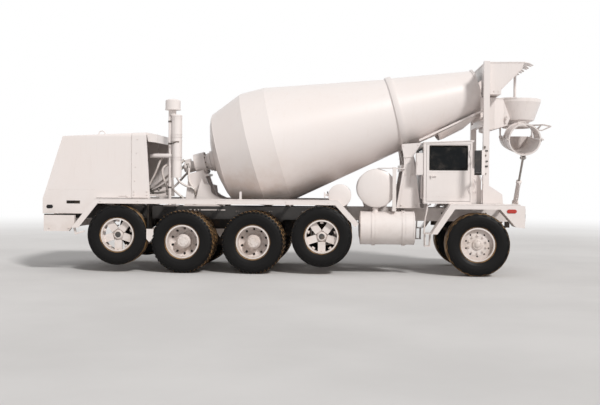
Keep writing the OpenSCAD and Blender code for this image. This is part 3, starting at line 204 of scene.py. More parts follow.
def sheet(points, push, edge=0.002):
    """A plate: a closed outline extruded by one push."""
    piece = trace(points, closed=True)
    bpy.ops.mesh.extrude_region_move(TRANSFORM_OT_translate={"value": Vector(push)})
    close_up()
    return round_edges(piece, edge) if edge else piece


def spun(points, axis="Y", steps=48, angle=2 * pi):
    """A turned form: a line spun round an axis. X and Y take (place along it, radius), Z (radius, place)."""
    piece = trace([(0, a, b) if axis == "Y" else (a, 0, b) for a, b in points])
    bpy.ops.mesh.select_all(action="SELECT")
    bpy.ops.mesh.spin(steps=steps, angle=angle, center=(0, 0, 0), axis=AXES[axis])
    close_up(MERGE)
    return piece


def collar(inner, outer, low, high, steps, angle=2 * pi):
    """A closed ring of square section round Z."""
    return spun([(inner, low), (outer, low), (outer, high), (inner, high), (inner, low)], "Z", steps, angle)


def strap(inner, outer, start, end, steps, angle=2 * pi):
    """A band round X, open towards the form that it lies on."""
    return spun([(start, inner), (start, outer), (end, outer), (end, inner)], "X", steps, angle)


def oval(x, y, z, straight, radius, count=32):
    """The outline of an oval lens in a side wall, from half its straight length and its ends' radius."""
    turns = [2 * pi * k / count for k in range(count)]
    return [(x + (straight if cos(a) > 0 else -straight) + radius * cos(a), y, z + radius * sin(a))
            for a in turns]


def swept(radius, resolution, capped=True):
    """Turns the active line into a tube round it."""
    bpy.ops.object.convert(target="CURVE")
    curve = bpy.context.object
    curve.data.dimensions = "3D"
    curve.data.bevel_depth, curve.data.bevel_resolution, curve.data.use_fill_caps = radius, resolution, capped
    bpy.ops.object.convert(target="MESH")
    return bpy.context.object


def pipe(points, radius, resolution=3):
    """A round bar or hose along a line of points, with closed ends."""
    trace(points)
    to_mode("OBJECT")
    piece = swept(radius, resolution)
    to_mode("EDIT")
    close_up(MERGE)
    return smooth(piece, 50)


def curve_points(guides, count=20):
    """Points along one smooth curve drawn through its guide points' hull."""
    made = []
    for step in range(count + 1):
        row = [Vector(g) for g in guides]
        while len(row) > 1:
            row = [a.lerp(b, step / count) for a, b in zip(row, row[1:])]
        made.append(row[0])
    return made


def join(pieces):
    deselect()
    for piece in pieces:
        piece.select_set(True)
    bpy.context.view_layer.objects.active = pieces[0]
    if len(pieces) > 1:
        bpy.ops.object.join()
    return bpy.context.object


def repeat(piece, places):
    """Copies of one piece at several places, joined, in the piece's stead."""
    twins = [twin_of(piece, matrix) for matrix in places]
    bpy.data.objects.remove(piece)
    return join(twins)


def both_sides(piece):
    """The piece and its mirror image on the vehicle's other side."""
    return join([piece, mirrored(twin_of(piece, Matrix.Identity(4)))])


def at(x, y, z):
    return Matrix.Translation((x, y, z))


def round_axis(count, axis, start=0.0):
    return [Matrix.Rotation(start + 2 * pi * k / count, 4, axis) for k in range(count)]


def hex_bolt(width, height):
    """A bolt head standing on XY: a hexagon with a domed end and a washer."""
    deselect()
    bpy.ops.mesh.primitive_cylinder_add(vertices=6, radius=width / 2, depth=height, location=(0, 0, height / 2))
    piece = bpy.context.object
    apply_place()
    pick_faces()
    for face in piece.data.polygons:
        face.select = face.normal.z > 0.9
    to_mode("EDIT")
    bpy.ops.mesh.inset(thickness=width * 0.14, depth=height * 0.16)
    bpy.ops.mesh.inset(thickness=width * 0.1, depth=0)
    bpy.ops.mesh.extrude_region_move(TRANSFORM_OT_translate={"value": (0, 0, height * 0.3)})
    to_mode("OBJECT")
    bpy.ops.mesh.primitive_cylinder_add(vertices=14, radius=width * 0.62, depth=height * 0.2, location=(0, 0,
            height * 0.1))
    washer = bpy.context.object
    apply_place()
    return join([piece, washer])


def facing(direction):
    """Turns a piece that stands on XY to face along a direction."""
    return Vector(direction).to_track_quat("Z", "Y").to_matrix().to_4x4()


def bolt_at(width, height, place_at, direction=(0, 1, 0)):
    return place(hex_bolt(width, height), at(*place_at) @ facing(direction))


def bolt_row(width, height, places, direction=(0, 1, 0)):
    """Like bolts at several places that face one way."""
    turn = facing(direction)
    return repeat(hex_bolt(width, height), [at(*point) @ turn for point in places])


def give(piece, name, finish, body="chassis", instead=None):
    """Names a finished piece, paints it and lets it ride on its body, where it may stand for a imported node."""
    deselect()
    piece.name = piece.data.name = name
    piece.data.materials.clear()
    piece.data.materials.append(FINISH[finish])
    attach(piece, body)
    if instead:
        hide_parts(instead)


# ---- Finishes ----

def group(name, inputs, outputs):
    """An empty shader node group with its sockets: (name, socket type, default)."""
    tree = bpy.data.node_groups.new(name, "ShaderNodeTree")
    for label, kind, value in inputs:
        socket = tree.interface.new_socket(label, in_out="INPUT", socket_type=kind)
        if value is not None:
            socket.default_value = value
    for label, kind in outputs:
        tree.interface.new_socket(label, in_out="OUTPUT", socket_type=kind)
    return tree, tree.nodes.new("NodeGroupInput"), tree.nodes.new("NodeGroupOutput")


def node(tree, kind, **settings):
    made = tree.nodes.new(kind)
    for key, value in settings.items():
        setattr(made, key, value)
    return made


def wire(tree, start, end):
    tree.links.new(start, end)


def mapped(tree, value, low, high, out_low=0.0, out_high=1.0):
    """A smooth step of a value."""
    made = node(tree, "ShaderNodeMapRange", interpolation_type="SMOOTHSTEP")
    wire(tree, value, made.inputs["Value"])
    for label, number in zip(("From Min", "From Max", "To Min", "To Max"), (low, high, out_low, out_high)):
        made.inputs[label].default_value = number
    return made.outputs["Result"]


def noise(tree, vector, scale, detail=4.0, roughness=0.55):
    made = node(tree, "ShaderNodeTexNoise")
    wire(tree, vector, made.inputs["Vector"])
    made.inputs["Scale"].default_value = scale
    made.inputs["Detail"].default_value = detail
    made.inputs["Roughness"].default_value = roughness
    return made.outputs["Fac"]


def maths(tree, operation, first, second):
    made = node(tree, "ShaderNodeMath", operation=operation, use_clamp=operation != "SUBTRACT")
    for socket, value in zip(made.inputs, (first, second)):
        if isinstance(value, (int, float)):
            socket.default_value = value
        else:
            wire(tree, value, socket)
    return made.outputs[0]


def stretched(tree, vector, scale):
    made = node(tree, "ShaderNodeVectorMath", operation="MULTIPLY")
    wire(tree, vector, made.inputs[0])
    made.inputs[1].default_value = scale
    return made.outputs[0]


def blend_colour(tree, share, first, second):
    made = node(tree, "ShaderNodeMix", data_type="RGBA")
    wire(tree, share, made.inputs["Factor"])
    for label, value in (("A", first), ("B", second)):
        socket = [s for s in made.inputs if s.name == label and s.type == "RGBA"][0]
        if hasattr(value, "links"):
            wire(tree, value, socket)
        else:
            socket.default_value = value
    return [s for s in made.outputs if s.type == "RGBA"][0]


def weather_group():
    """Weathered paint: drifting tint, rain streaks, dust that gathers low down, and mud specks."""
    tree, inside, outside = group("weathered paint", [("Vector", "NodeSocketVector", None),
            ("Colour", "NodeSocketColor", (0.8, 0.8, 0.8, 1)), ("Dust", "NodeSocketColor", (0.3, 0.2, 0.1, 1)),
            ("Dust Amount", "NodeSocketFloat", 0.5), ("Streaks", "NodeSocketFloat", 0.3), ("Dust Top",
            "NodeSocketFloat", 1.6)], [("Colour", "NodeSocketColor"), ("Roughness", "NodeSocketFloat"),
            ("Height", "NodeSocketFloat")])
    here = inside.outputs["Vector"]
    split = node(tree, "ShaderNodeSeparateXYZ")
    wire(tree, here, split.inputs[0])
    drift = mapped(tree, noise(tree, here, 1.1, 5), 0.35, 0.7)
    streak = mapped(tree, noise(tree, stretched(tree, here, (7.0, 7.0, 0.6)), 2.2, 5), 0.52, 0.74)
    fine = noise(tree, here, 38.0, 6, 0.6)
    specks = mapped(tree, noise(tree, here, 61.0, 3), 0.66, 0.72)
    height = node(tree, "ShaderNodeMath", operation="DIVIDE")
    wire(tree, split.outputs["Z"], height.inputs[0])
    wire(tree, inside.outputs["Dust Top"], height.inputs[1])
    low = mapped(tree, height.outputs[0], 0.25, 1.0, 1.0, 0.0)
    patch = mapped(tree, noise(tree, here, 3.1, 6, 0.65), 0.38, 0.68)
    gathered = maths(tree, "MULTIPLY", low, maths(tree, "ADD", maths(tree, "MULTIPLY", patch, 0.6), 0.25))
    dust = maths(tree, "MULTIPLY", gathered, inside.outputs["Dust Amount"])
    run = maths(tree, "MULTIPLY", streak, inside.outputs["Streaks"])
    speck = maths(tree, "MULTIPLY", maths(tree, "MULTIPLY", specks, low), inside.outputs["Dust Amount"])
    mask = maths(tree, "MAXIMUM", maths(tree, "MAXIMUM", dust, speck), run)
    warm = node(tree, "ShaderNodeMix", data_type="RGBA", blend_type="MULTIPLY")
    wire(tree, maths(tree, "MULTIPLY", drift, 0.5), warm.inputs["Factor"])
    wire(tree, inside.outputs["Colour"], warm.inputs[6])
    warm.inputs[7].default_value = (1.0, 0.975, 0.96, 1)
    wire(tree, blend_colour(tree, mask, warm.outputs[2], inside.outputs["Dust"]), outside.inputs["Colour"])
    rough = maths(tree, "ADD", maths(tree, "MULTIPLY", mask, 0.5), maths(tree, "ADD", maths(tree, "MULTIPLY",
                  fine, 0.16), 0.27))
    wire(tree, rough, outside.inputs["Roughness"])
    lumps = maths(tree, "ADD", maths(tree, "MULTIPLY", fine, 0.25), maths(tree, "MULTIPLY", mask, 0.5))
    wire(tree, lumps, outside.inputs["Height"])
    return tree


def wear_group():
    """Edge wear: a mask of the outer edges, broken up by grain."""
    tree, inside, outside = group("edge wear", [("Vector", "NodeSocketVector", None), ("Width", "NodeSocketFloat",
            0.008), ("Amount", "NodeSocketFloat", 0.5)], [("Mask", "NodeSocketFloat")])
    soft = node(tree, "ShaderNodeBevel", samples=4)
    wire(tree, inside.outputs["Width"], soft.inputs["Radius"])
    true = node(tree, "ShaderNodeNewGeometry")
    match = node(tree, "ShaderNodeVectorMath", operation="DOT_PRODUCT")
    wire(tree, soft.outputs["Normal"], match.inputs[0])
    wire(tree, true.outputs["Normal"], match.inputs[1])
    edge = mapped(tree, match.outputs["Value"], 0.9, 0.998, 1.0, 0.0)
    grain = mapped(tree, noise(tree, inside.outputs["Vector"], 22.0, 5, 0.7), 0.45, 0.62)
    mask = maths(tree, "MULTIPLY", maths(tree, "MULTIPLY", edge, grain), inside.outputs["Amount"])
    wire(tree, mask, outside.inputs["Mask"])
    return tree


def grain_group():
    """Moulded or cast grain: fine and coarse noise as height, a mottled shade and a roughness."""
    tree, inside, outside = group("cast grain", [("Vector", "NodeSocketVector", None),
            ("Colour", "NodeSocketColor", (0.1, 0.1, 0.1, 1)), ("Dust", "NodeSocketColor", (0.3, 0.2, 0.1, 1)),
            ("Scale", "NodeSocketFloat", 60.0), ("Dust Amount", "NodeSocketFloat", 0.3)],
            [("Colour", "NodeSocketColor"), ("Roughness", "NodeSocketFloat"), ("Height", "NodeSocketFloat")])
    fine = node(tree, "ShaderNodeTexNoise")
    wire(tree, inside.outputs["Vector"], fine.inputs["Vector"])
    wire(tree, inside.outputs["Scale"], fine.inputs["Scale"])
    fine.inputs["Detail"].default_value = 5
    coarse = noise(tree, inside.outputs["Vector"], 6.0, 5, 0.6)
    settled = maths(tree, "MULTIPLY", mapped(tree, coarse, 0.42, 0.66), inside.outputs["Dust Amount"])
    colour = blend_colour(tree, settled, inside.outputs["Colour"], inside.outputs["Dust"])
    wire(tree, colour, outside.inputs["Colour"])
    rough = maths(tree, "ADD", maths(tree, "MULTIPLY", fine.outputs["Fac"], 0.3), maths(tree, "ADD", maths(tree,
                  "MULTIPLY", settled, 0.4), 0.3))
    wire(tree, rough, outside.inputs["Roughness"])
    wire(tree, fine.outputs["Fac"], outside.inputs["Height"])
    return tree


def material(name, metallic=0.0, coat=0.0, bump=0.1, bump_size=0.002, transmission=0.0, shine=0.5):
    """A material with a shader and a bump. Returns (material, tree, shader, bump, object coordinates)."""
    made = bpy.data.materials.new(name)
    made.use_nodes = True
    tree = made.node_tree
    tree.nodes.clear()
    shader = node(tree, "ShaderNodeBsdfPrincipled")
    shader.inputs["Metallic"].default_value = metallic
    shader.inputs["Coat Weight"].default_value = coat
    shader.inputs["Coat Roughness"].default_value = 0.25
    shader.inputs["Transmission Weight"].default_value = transmission
    shader.inputs["Specular IOR Level"].default_value = shine
    end = node(tree, "ShaderNodeOutputMaterial")
    wire(tree, shader.outputs[0], end.inputs["Surface"])
    relief = node(tree, "ShaderNodeBump")
    relief.inputs["Strength"].default_value = bump
    relief.inputs["Distance"].default_value = bump_size
    wire(tree, relief.outputs[0], shader.inputs["Normal"])
    coords = node(tree, "ShaderNodeTexCoord")
    return made, tree, shader, relief, coords.outputs["Object"]


def use_group(tree, source, **values):
    made = node(tree, "ShaderNodeGroup", node_tree=source)
    for label, value in values.items():
        socket = made.inputs[label.replace("_", " ")]
        if hasattr(value, "links"):
            wire(tree, value, socket)
        else:
            socket.default_value = value
    return made


def colour4(value):
    return (*value, 1.0)


FINISH = {}


def paint_finish(name, colour, dust, amount, streaks, top, wear=0.35, painted_shade_to=None):
    """Brushed-on white paint with weathering and worn edges, and, where asked, painted shade that turns it black up
    to a place along X.
    """
    made, tree, shader, relief, vector = material(name, coat=0.12, bump=0.25, bump_size=0.0015)
    weather = use_group(tree, FINISH["weather"], Vector=vector, Colour=colour4(colour), Dust=colour4(dust),
                        Dust_Amount=amount, Streaks=streaks, Dust_Top=top)
    edges = use_group(tree, FINISH["wear"], Vector=vector, Width=0.007, Amount=wear)
    mixed = blend_colour(tree, edges.outputs["Mask"], weather.outputs["Colour"], (0.3, 0.22, 0.17, 1))
    # Painted shade: near black towards the rear along X, fading out over 0.25 m, for the shade under the deck and
    # wheel arches.
    if painted_shade_to is not None:
        split = node(tree, "ShaderNodeSeparateXYZ")
        wire(tree, vector, split.inputs[0])
        painted_shade = mapped(tree, split.outputs["X"], painted_shade_to - 0.25, painted_shade_to, 0.97, 0.0)
        mixed = blend_colour(tree, painted_shade, mixed, (0.02, 0.018, 0.017, 1))
    wire(tree, mixed, shader.inputs["Base Color"])
    wire(tree, weather.outputs["Roughness"], shader.inputs["Roughness"])
    wire(tree, weather.outputs["Height"], relief.inputs["Height"])
    return made


def grain_finish(name, colour, dust, scale, amount, metallic=0.0, bump=0.2, wear=0.0, shine=0.5):
    """A moulded, cast or rolled surface with dust in its hollows and bare metal on its edges where worn."""
    made, tree, shader, relief, vector = material(name, metallic=metallic, bump=bump, shine=shine)
    grain = use_group(tree, FINISH["grain"], Vector=vector, Colour=colour4(colour), Dust=colour4(dust),
                      Scale=scale, Dust_Amount=amount)
    out = grain.outputs["Colour"]
    if wear:
        edges = use_group(tree, FINISH["wear"], Vector=vector, Width=0.005, Amount=wear)
        out = blend_colour(tree, edges.outputs["Mask"], out, (0.4, 0.38, 0.36, 1))
    wire(tree, out, shader.inputs["Base Color"])
    wire(tree, grain.outputs["Roughness"], shader.inputs["Roughness"])
    wire(tree, grain.outputs["Height"], relief.inputs["Height"])
    return made


def tyre_finish(rubber, dust):
    """Black rubber whose tread, but not its outer sidewall, carries dried dust."""
    made, tree, shader, relief, vector = material("tyre_rubber", bump=0.35, shine=0.12)
    grain = use_group(tree, FINISH["grain"], Vector=vector, Colour=colour4(rubber), Dust=colour4(rubber),
                      Scale=90.0, Dust_Amount=0.0)
    coords = node(tree, "ShaderNodeTexCoord")
    masks = []
    for source, low, high in ((vector, 1.19, 1.204), (coords.outputs["Normal"], 0.45, 0.75)):
        split, across = node(tree, "ShaderNodeSeparateXYZ"), node(tree, "ShaderNodeMath", operation="ABSOLUTE")
        wire(tree, source, split.inputs[0])
        wire(tree, split.outputs["Y"], across.inputs[0])
        masks.append(mapped(tree, across.outputs[0], low, high, 1.0, 0.0))
    tread = maths(tree, "MULTIPLY", *masks)
    patch = mapped(tree, noise(tree, vector, 7.0, 5), 0.3, 0.62, 0.15, 0.95)
    dusty = blend_colour(tree, maths(tree, "MULTIPLY", tread, patch), grain.outputs["Colour"], colour4(dust))
    wire(tree, dusty, shader.inputs["Base Color"])
    wire(tree, grain.outputs["Roughness"], shader.inputs["Roughness"])
    wire(tree, grain.outputs["Height"], relief.inputs["Height"])
    return made


def clear_finish(name, colour, rough, transmission, ribs=0.0, coat=0.5, ior=1.48):
    """Glass or a lamp lens: a light film of dust over a clear body, with moulded ribs where given."""
    made, tree, shader, relief, vector = material(name, coat=coat, bump=0.3, bump_size=0.001,
            transmission=transmission)
    shader.inputs["IOR"].default_value = ior
    film = mapped(tree, noise(tree, vector, 5.0, 6, 0.65), 0.45, 0.8, 0.0, 0.14)
    wire(tree, blend_colour(tree, film, colour4(colour), (0.45, 0.38, 0.32, 1)), shader.inputs["Base Color"])
    wire(tree, mapped(tree, noise(tree, vector, 9.0, 4), 0.3, 0.8, rough, rough + 0.12),
         shader.inputs["Roughness"])
    if ribs:
        wave = node(tree, "ShaderNodeTexWave", bands_direction="Z")
        wire(tree, vector, wave.inputs["Vector"])
        wave.inputs["Scale"].default_value = ribs
        wire(tree, wave.outputs["Fac"], relief.inputs["Height"])
    else:
        wire(tree, noise(tree, vector, 30.0, 2), relief.inputs["Height"])
    return made


def make_finishes():
    colours = bpy.context.scene.mixer_colours
    FINISH["weather"], FINISH["wear"], FINISH["grain"] = weather_group(), wear_group(), grain_group()
    paint, dust = colours.paint, colours.dust
    FINISH["body paint"] = paint_finish("body_paint", paint, dust, 0.22, 0.05, 2.0)
    FINISH["chassis paint"] = paint_finish("chassis_paint", paint, dust, 0.35, 0.1, 1.7, wear=0.5)
    # The frame's paint holds painted shade: near black from X 0.7 rearwards, fading out by X 0.95, where the deck
    # shades the rails.
    FINISH["frame paint"] = paint_finish("frame_paint_and_shade", paint, dust, 0.4, 0.1, 1.7, wear=0.5, painted_shade_to=0.95)
    FINISH["drum paint"] = paint_finish("drum_paint", paint, (0.52, 0.37, 0.27), 0.95, 0.05, 2.45, wear=0.25)
    FINISH["wheel paint"] = paint_finish("wheel_paint", paint, dust, 0.5, 0.08, 1.5, wear=0.5)
    FINISH["hopper paint"] = paint_finish("hopper_paint", paint, (0.5, 0.44, 0.38), 0.45, 0.22, 3.6, wear=0.6)
    FINISH["chute paint"] = paint_finish("chute_paint", paint, (0.44, 0.36, 0.29), 0.6, 0.2, 3.2, wear=0.7)
    rubber, steel = colours.rubber, colours.steel
    FINISH["tyre"] = tyre_finish(rubber, (0.4, 0.235, 0.105))
    # Painted shade: near-black colour for the axles, drive train and knuckles, which sit in deep shade under the
    # truck.
    FINISH["underbody_shade"] = grain_finish("underbody_shade", (0.02, 0.018, 0.017), (0.08, 0.055, 0.04), 40, 0.5,
            shine=0.15)
    FINISH["black"] = grain_finish("black_plastic", (0.015, 0.015, 0.016), dust, 140, 0.08, shine=0.2)
    FINISH["seal"] = grain_finish("rubber_seal", (0.01, 0.01, 0.01), dust, 120, 0.08, shine=0.12)
    FINISH["hose"] = grain_finish("painted_hose", (0.76, 0.7, 0.67), dust, 150, 0.2, bump=0.4)
    FINISH["dark steel"] = grain_finish("dark_steel", (0.085, 0.08, 0.078), dust, 70, 0.35, metallic=0.6,
            wear=0.5)
    FINISH["bare steel"] = grain_finish("bare_steel", steel, (0.28, 0.17, 0.1), 110, 0.3, metallic=0.95,
            bump=0.12)
    FINISH["worn steel"] = grain_finish("worn_steel", (0.3, 0.28, 0.26), (0.42, 0.38, 0.34), 60, 0.6,
            metallic=0.7)
    # The window glass is near black and lets little through: painted shade of the cab behind it.
    FINISH["glass"] = clear_finish("window_glass", colours.glass, 0.05, 0.35, coat=0.0, ior=1.2)
    # Painted reflection: the mirror glass is near black, not silvered, to show a dark reflection.
    FINISH["mirror"] = clear_finish("mirror_glass", (0.03, 0.035, 0.04), 0.03, 0.0)
    FINISH["red lens"] = clear_finish("red_lens", colours.lamp, 0.16, 0.2, ribs=60)
    FINISH["clear lens"] = clear_finish("clear_lens", (0.7, 0.7, 0.72), 0.08, 0.7, ribs=50)


NODE_FINISHES = {
    "body paint": ["hood", "cowl", "cab_shell", "door_right", "door_left", "mast", "rear_fenders",
                   "front_fenders", "tanks", "stacks", "lift_barrel"],
    "chassis paint": ["rear_bumper", "pedestals", "drum_drive", "drip_shield"],
    # the frame's finish carries painted shade under the deck
    "frame paint": ["frame"],
    # near-black painted shade under the truck
    "underbody_shade": ["beam_axles", "drive_train", "knuckle_right", "knuckle_left"],
    "drum paint": ["drum_shell", "drum_cone"],
    "hopper paint": ["charge_hopper", "collector"],
    "chute paint": ["chute_pivot", "chute_main", "chute_fold"],
    "worn steel": ["drum_blades"],
    "dark steel": ["engine_block"],
    "bare steel": ["roller_right", "roller_left", "lift_rod"],
    "glass": ["cab_glass", "door_glass_right", "door_glass_left"],
    "black": ["seat", "dash", "grille"],
    "hose": ["hoses"],
    "red lens": ["lamps"],
}


class MIXER_OT_finishes(bpy.types.Operator):
    """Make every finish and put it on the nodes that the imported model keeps"""
    bl_idname = "mixer.finishes"
    bl_label = "Finishes"

    def execute(self, context):
        make_finishes()
        for finish, names in NODE_FINISHES.items():
            for name in names:
                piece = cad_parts[name]
                piece.data.materials.clear()
                piece.data.materials.append(FINISH[finish])
        for name in WHEELS:
            for prefix, finish in (("wheel_", "wheel paint"), ("tyre_", "tyre")):
                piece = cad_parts[prefix + name]
                piece.data.materials.clear()
                piece.data.materials.append(FINISH[finish])
        return {"FINISHED"}


# ---- Wheels ----

TYRES = {  # outer radius, width, rim width, middle planes from the vehicle's middle
    "front": (0.562, 0.43, 0.33, [1.005]),
    "drive": (0.565, 0.3, 0.22, [1.07, 0.73]),
    "lift": (0.545, 0.29, 0.22, [1.075]),
}


SHOULDER = 0.046  # depth of a tyre's shoulder below its outer radius


def tyre_line(outer, width, rim, depth, columns):
    """Half to half section of a tyre: offset from its middle plane and radius, without the tread blocks."""
    bead = 0.2863
    half = [(rim / 2 - 0.0123, bead), (rim / 2 - 0.0123, bead + 0.018), (rim / 2 + 0.002, bead + 0.026),
            (rim / 2 + 0.012, bead + 0.031), (rim / 2 + 0.016, bead + 0.04), (width / 2 - 0.016, outer * 0.63),
            (width / 2 - 0.007, outer * 0.67), (width / 2 - 0.007, outer * 0.69), (width / 2 - 0.003,
            outer * 0.72), (width / 2, outer * 0.76), (width / 2 - 0.001, outer * 0.81), (width / 2 - 0.005,
            outer * 0.84), (width / 2 - 0.005, outer * 0.855), (width / 2 - 0.01, outer * 0.88),
            (width / 2 - 0.016, outer - SHOULDER), (width / 2 - 0.024 - depth * 0.3,
            outer - 0.018 - depth * 0.5),]
    tread = [(c, outer - depth - 0.006 * (2 * c / width) ** 2) for c in columns]
    return [(-x, r) for x, r in half] + tread + half[::-1]


def tread_columns(kind, width):
    """Edges of the tread's columns across a tyre, and the columns that stand up with their phase (None: a rib)."""
    w = width / 2
    if kind == "drive":
        edges = [-0.8, -0.42, -0.34, -0.05, 0.05, 0.34, 0.42, 0.8]
        raised = {0: 0, 2: 1, 4: 0, 6: 1}
    else:
        edges = [-0.8, -0.5, -0.43, -0.18, -0.11, 0.11, 0.18, 0.43, 0.5, 0.8]
        raised = {0: None, 2: None, 4: None, 6: None, 8: None}
    return [e * w for e in edges], raised


def model_tyre(kind):
    """One tyre on its own axle, along Y round the origin: a spun carcass, its lugs or ribs extruded from it."""
    sizes = bpy.context.scene.mixer_sizes
    outer, width, rim, _ = TYRES[kind]
    depth = sizes.tread_depth if kind == "drive" else sizes.tread_depth * 0.62
    steps = 2 * sizes.lugs
    columns, raised = tread_columns(kind, width)
    line = tyre_line(outer, width, rim, depth, columns)
    piece = spun(line, steps=steps)
    pick_faces()
    shoulder = outer - SHOULDER
    step = 2 * pi / steps
    for face in piece.data.polygons:
        middle = face.center
        reach, turn = hypot(middle.x, middle.z), int(atan2(middle.x, middle.z) / step + steps + 0.001)
        if reach < shoulder:
            continue
        column = next((k for k in range(len(columns) - 1) if columns[k] < middle.y < columns[k + 1]), None)
        side = middle.y < columns[0] or middle.y > columns[-1]
        if side:
            edge_row = 0 if middle.y < 0 else len(columns) - 2
            phase = raised[edge_row] if raised[edge_row] is not None else 0
            face.select = (turn + phase) % 2 == 0 if kind == "drive" else (turn // 2) % 2 == 0
        elif column in raised:
            phase = raised[column]
            face.select = True if phase is None else (turn + phase) % 2 == 0
    to_mode("EDIT")
    bpy.ops.mesh.extrude_region_shrink_fatten(TRANSFORM_OT_shrink_fatten={"value": depth * 0.98})
    to_mode("OBJECT")
    limit = outer - 0.0005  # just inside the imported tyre
    for vertex in piece.data.vertices:
        reach = hypot(vertex.co.x, vertex.co.z)
        if reach > limit:
            vertex.co.x *= limit / reach
            vertex.co.z *= limit / reach
        vertex.co.y = max(-width / 2, min(width / 2, vertex.co.y))
    return smooth(piece, 28)


class MIXER_OT_tyres(bpy.types.Operator):
    """Model a treaded tyre of each kind and fit it to every wheel"""
    bl_idname = "mixer.tyres"
    bl_label = "Tyres"

    def execute(self, context):
        for kind, (*_, planes) in TYRES.items():
            master = model_tyre(kind)
            for name, (x, side, z, wheel_kind) in WHEELS.items():
                if wheel_kind != kind:
                    continue
                turned = FLIP if side < 0 else Matrix.Identity(4)
                twins = [twin_of(master, at(x, side * plane, z) @ turned) for plane in planes]
                give(join(twins), "tread_" + name, "tyre", "wheel_" + name, instead="tyre_" + name)
            bpy.data.objects.remove(master)
        return {"FINISHED"}


def wheel_nuts(kind):
    """The nuts and hub trim of one wheel on its own axle, outer side towards +Y, plane measured from the middle."""
    width = bpy.context.scene.mixer_sizes.nut_width
    out = facing((0, 1, 0))
    parts = []
    if kind == "front":
        parts.append(repeat(hex_bolt(width, 0.022), [m @ at(0, 1.1012, 0) @ at(0, 0, 0.158) @ out
                     for m in round_axis(10, "Y")]))
        parts.append(repeat(hex_bolt(0.02, 0.008), [m @ at(0, 1.1302, 0.062) @ out for m in round_axis(6, "Y")]))
        cap = spun([(1.1301, 0.08), (1.1345, 0.078), (1.1345, 0.05), (1.15, 0.045), (1.158, 0.03), (1.16, 0.0)],
                   steps=32)
        parts.append(smooth(cap, 30))
    if kind == "drive":
        parts.append(repeat(hex_bolt(width, 0.024), [m @ at(0, 0.9165, 0.16) @ out for m in round_axis(10, "Y")]))
        parts.append(repeat(hex_bolt(0.026, 0.012), [m @ at(0, 1.1302, 0.074) @ out for m in round_axis(8, "Y")]))
        flange = spun([(1.1301, 0.092), (1.139, 0.09), (1.139, 0.052), (1.147, 0.046), (1.147, 0.0)], steps=32)
        parts.append(smooth(flange, 30))
    if kind == "lift":
        cap = spun([(1.1301, 0.07), (1.137, 0.068), (1.139, 0.056), (1.1301, 0.053)], steps=32)
        parts.append(smooth(cap, 30))
        clamp = sheet([(-0.03, 1.117, 0.232), (0.03, 1.117, 0.232), (0.024, 1.117, 0.276), (-0.024, 1.117,
                      0.276)], (0, 0.014, 0), edge=0.002)
        nut = bolt_at(width * 0.9, 0.022, (0, 1.131, 0.25))
        parts.append(repeat(join([clamp, nut]), round_axis(5, "Y")))
    return parts


class MIXER_OT_wheel_trim(bpy.types.Operator):
    """Nuts, hub caps, rim clamps and valves of the wheels"""
    bl_idname = "mixer.wheel_trim"
    bl_label = "Wheel trim"

    def execute(self, context):
        for kind in TYRES:
            master = join(wheel_nuts(kind))
            plane = TYRES[kind][3][0]
            valve = pipe([(0.0, plane + 0.02, -0.262), (0.0, plane + 0.06, -0.262), (0.0, plane + 0.085, -0.25)],
                         0.006, 2)
            master = join([master, valve])
            for name, (x, side, z, wheel_kind) in WHEELS.items():
                if wheel_kind != kind:
                    continue
                seat = at(x, 0, z) @ (FLIP if side < 0 else Matrix.Identity(4))
                twin = twin_of(master, seat)
                give(twin, "nuts_" + name, "wheel paint", "wheel_" + name)
                if kind == "lift":
                    # A dark disc deep in the lift hub's cap: painted shade of the hub's centre hole.
                    hub_shade = spun([(1.1302, 0.0525), (1.1325, 0.051), (1.1345, 0.03), (1.1345, 0.0)], steps=28)
                    place(smooth(hub_shade, 30), seat)
                    give(hub_shade, "hub_shade_disc_" + name, "dark steel", "wheel_" + name)
            bpy.data.objects.remove(master)
        return {"FINISHED"}


# ---- Rear: hood, stacks, hoses ----

class MIXER_OT_hood_trim(bpy.types.Operator):
    """Lifting ring, vents, seams and latches of the engine hood, and the cowl's bolts"""
    bl_idname = "mixer.hood_trim"
    bl_label = "Hood trim"

    def execute(self, context):
        ring = spun([(0.062 + 0.011 * cos(a), 0.011 * sin(a)) for a in [2 * pi * k / 10 for k in range(11)]], "Z",
                    28)
        place(smooth(ring, 60), at(-3.84, 0, 2.555) @ Matrix.Rotation(pi / 2, 4, "X"))
        foot = block((-3.885, -0.03, 2.468), (-3.795, 0.03, 2.498), 0.004)
        give(join([ring, foot]), "hood_lifting_ring", "body paint", "hood")
        seam = block((-4.5, HOOD_SIDE, 1.483), (-3.64, 1.1022, 1.489), 0.0008)
        lip = block((-4.607, HOOD_SIDE, 1.052), (-3.868, 1.103, 1.064), 0.001)
        rail = block((-2.998, HOOD_SIDE, 1.345), (-2.978, 1.103, 2.44), 0.001)
        handle = block((-3.2, HOOD_SIDE, 1.372), (-3.08, 1.112, 1.392), 0.004)
        latch = block((-3.07, HOOD_SIDE, 1.362), (-3.03, 1.118, 1.402), 0.004)
        give(both_sides(join([seam, lip, rail, handle, latch])), "hood_seams", "body paint", "hood")
        # A thin black plate on each hood side: painted shade of a vent slot.
        vent_shade = both_sides(block((-4.167, HOOD_SIDE, 1.233), (-3.918, 1.1035, 1.287), 0.0012))
        give(vent_shade, "hood_vent_shades", "seal", "hood")
        hinge = bolt_row(0.03, 0.012, [(x, HOOD_SIDE, z) for x in (-2.93, -2.69) for z in (1.4, 1.46)])
        cowl_bolts = bolt_row(0.022, 0.008, [(-2.93 + 0.0635 * (z - 1.4), HOOD_SIDE, z) for z in (1.65, 1.9, 2.15,
                2.4)])
        give(both_sides(join([hinge, cowl_bolts])), "cowl_bolts", "body paint")
        return {"FINISHED"}


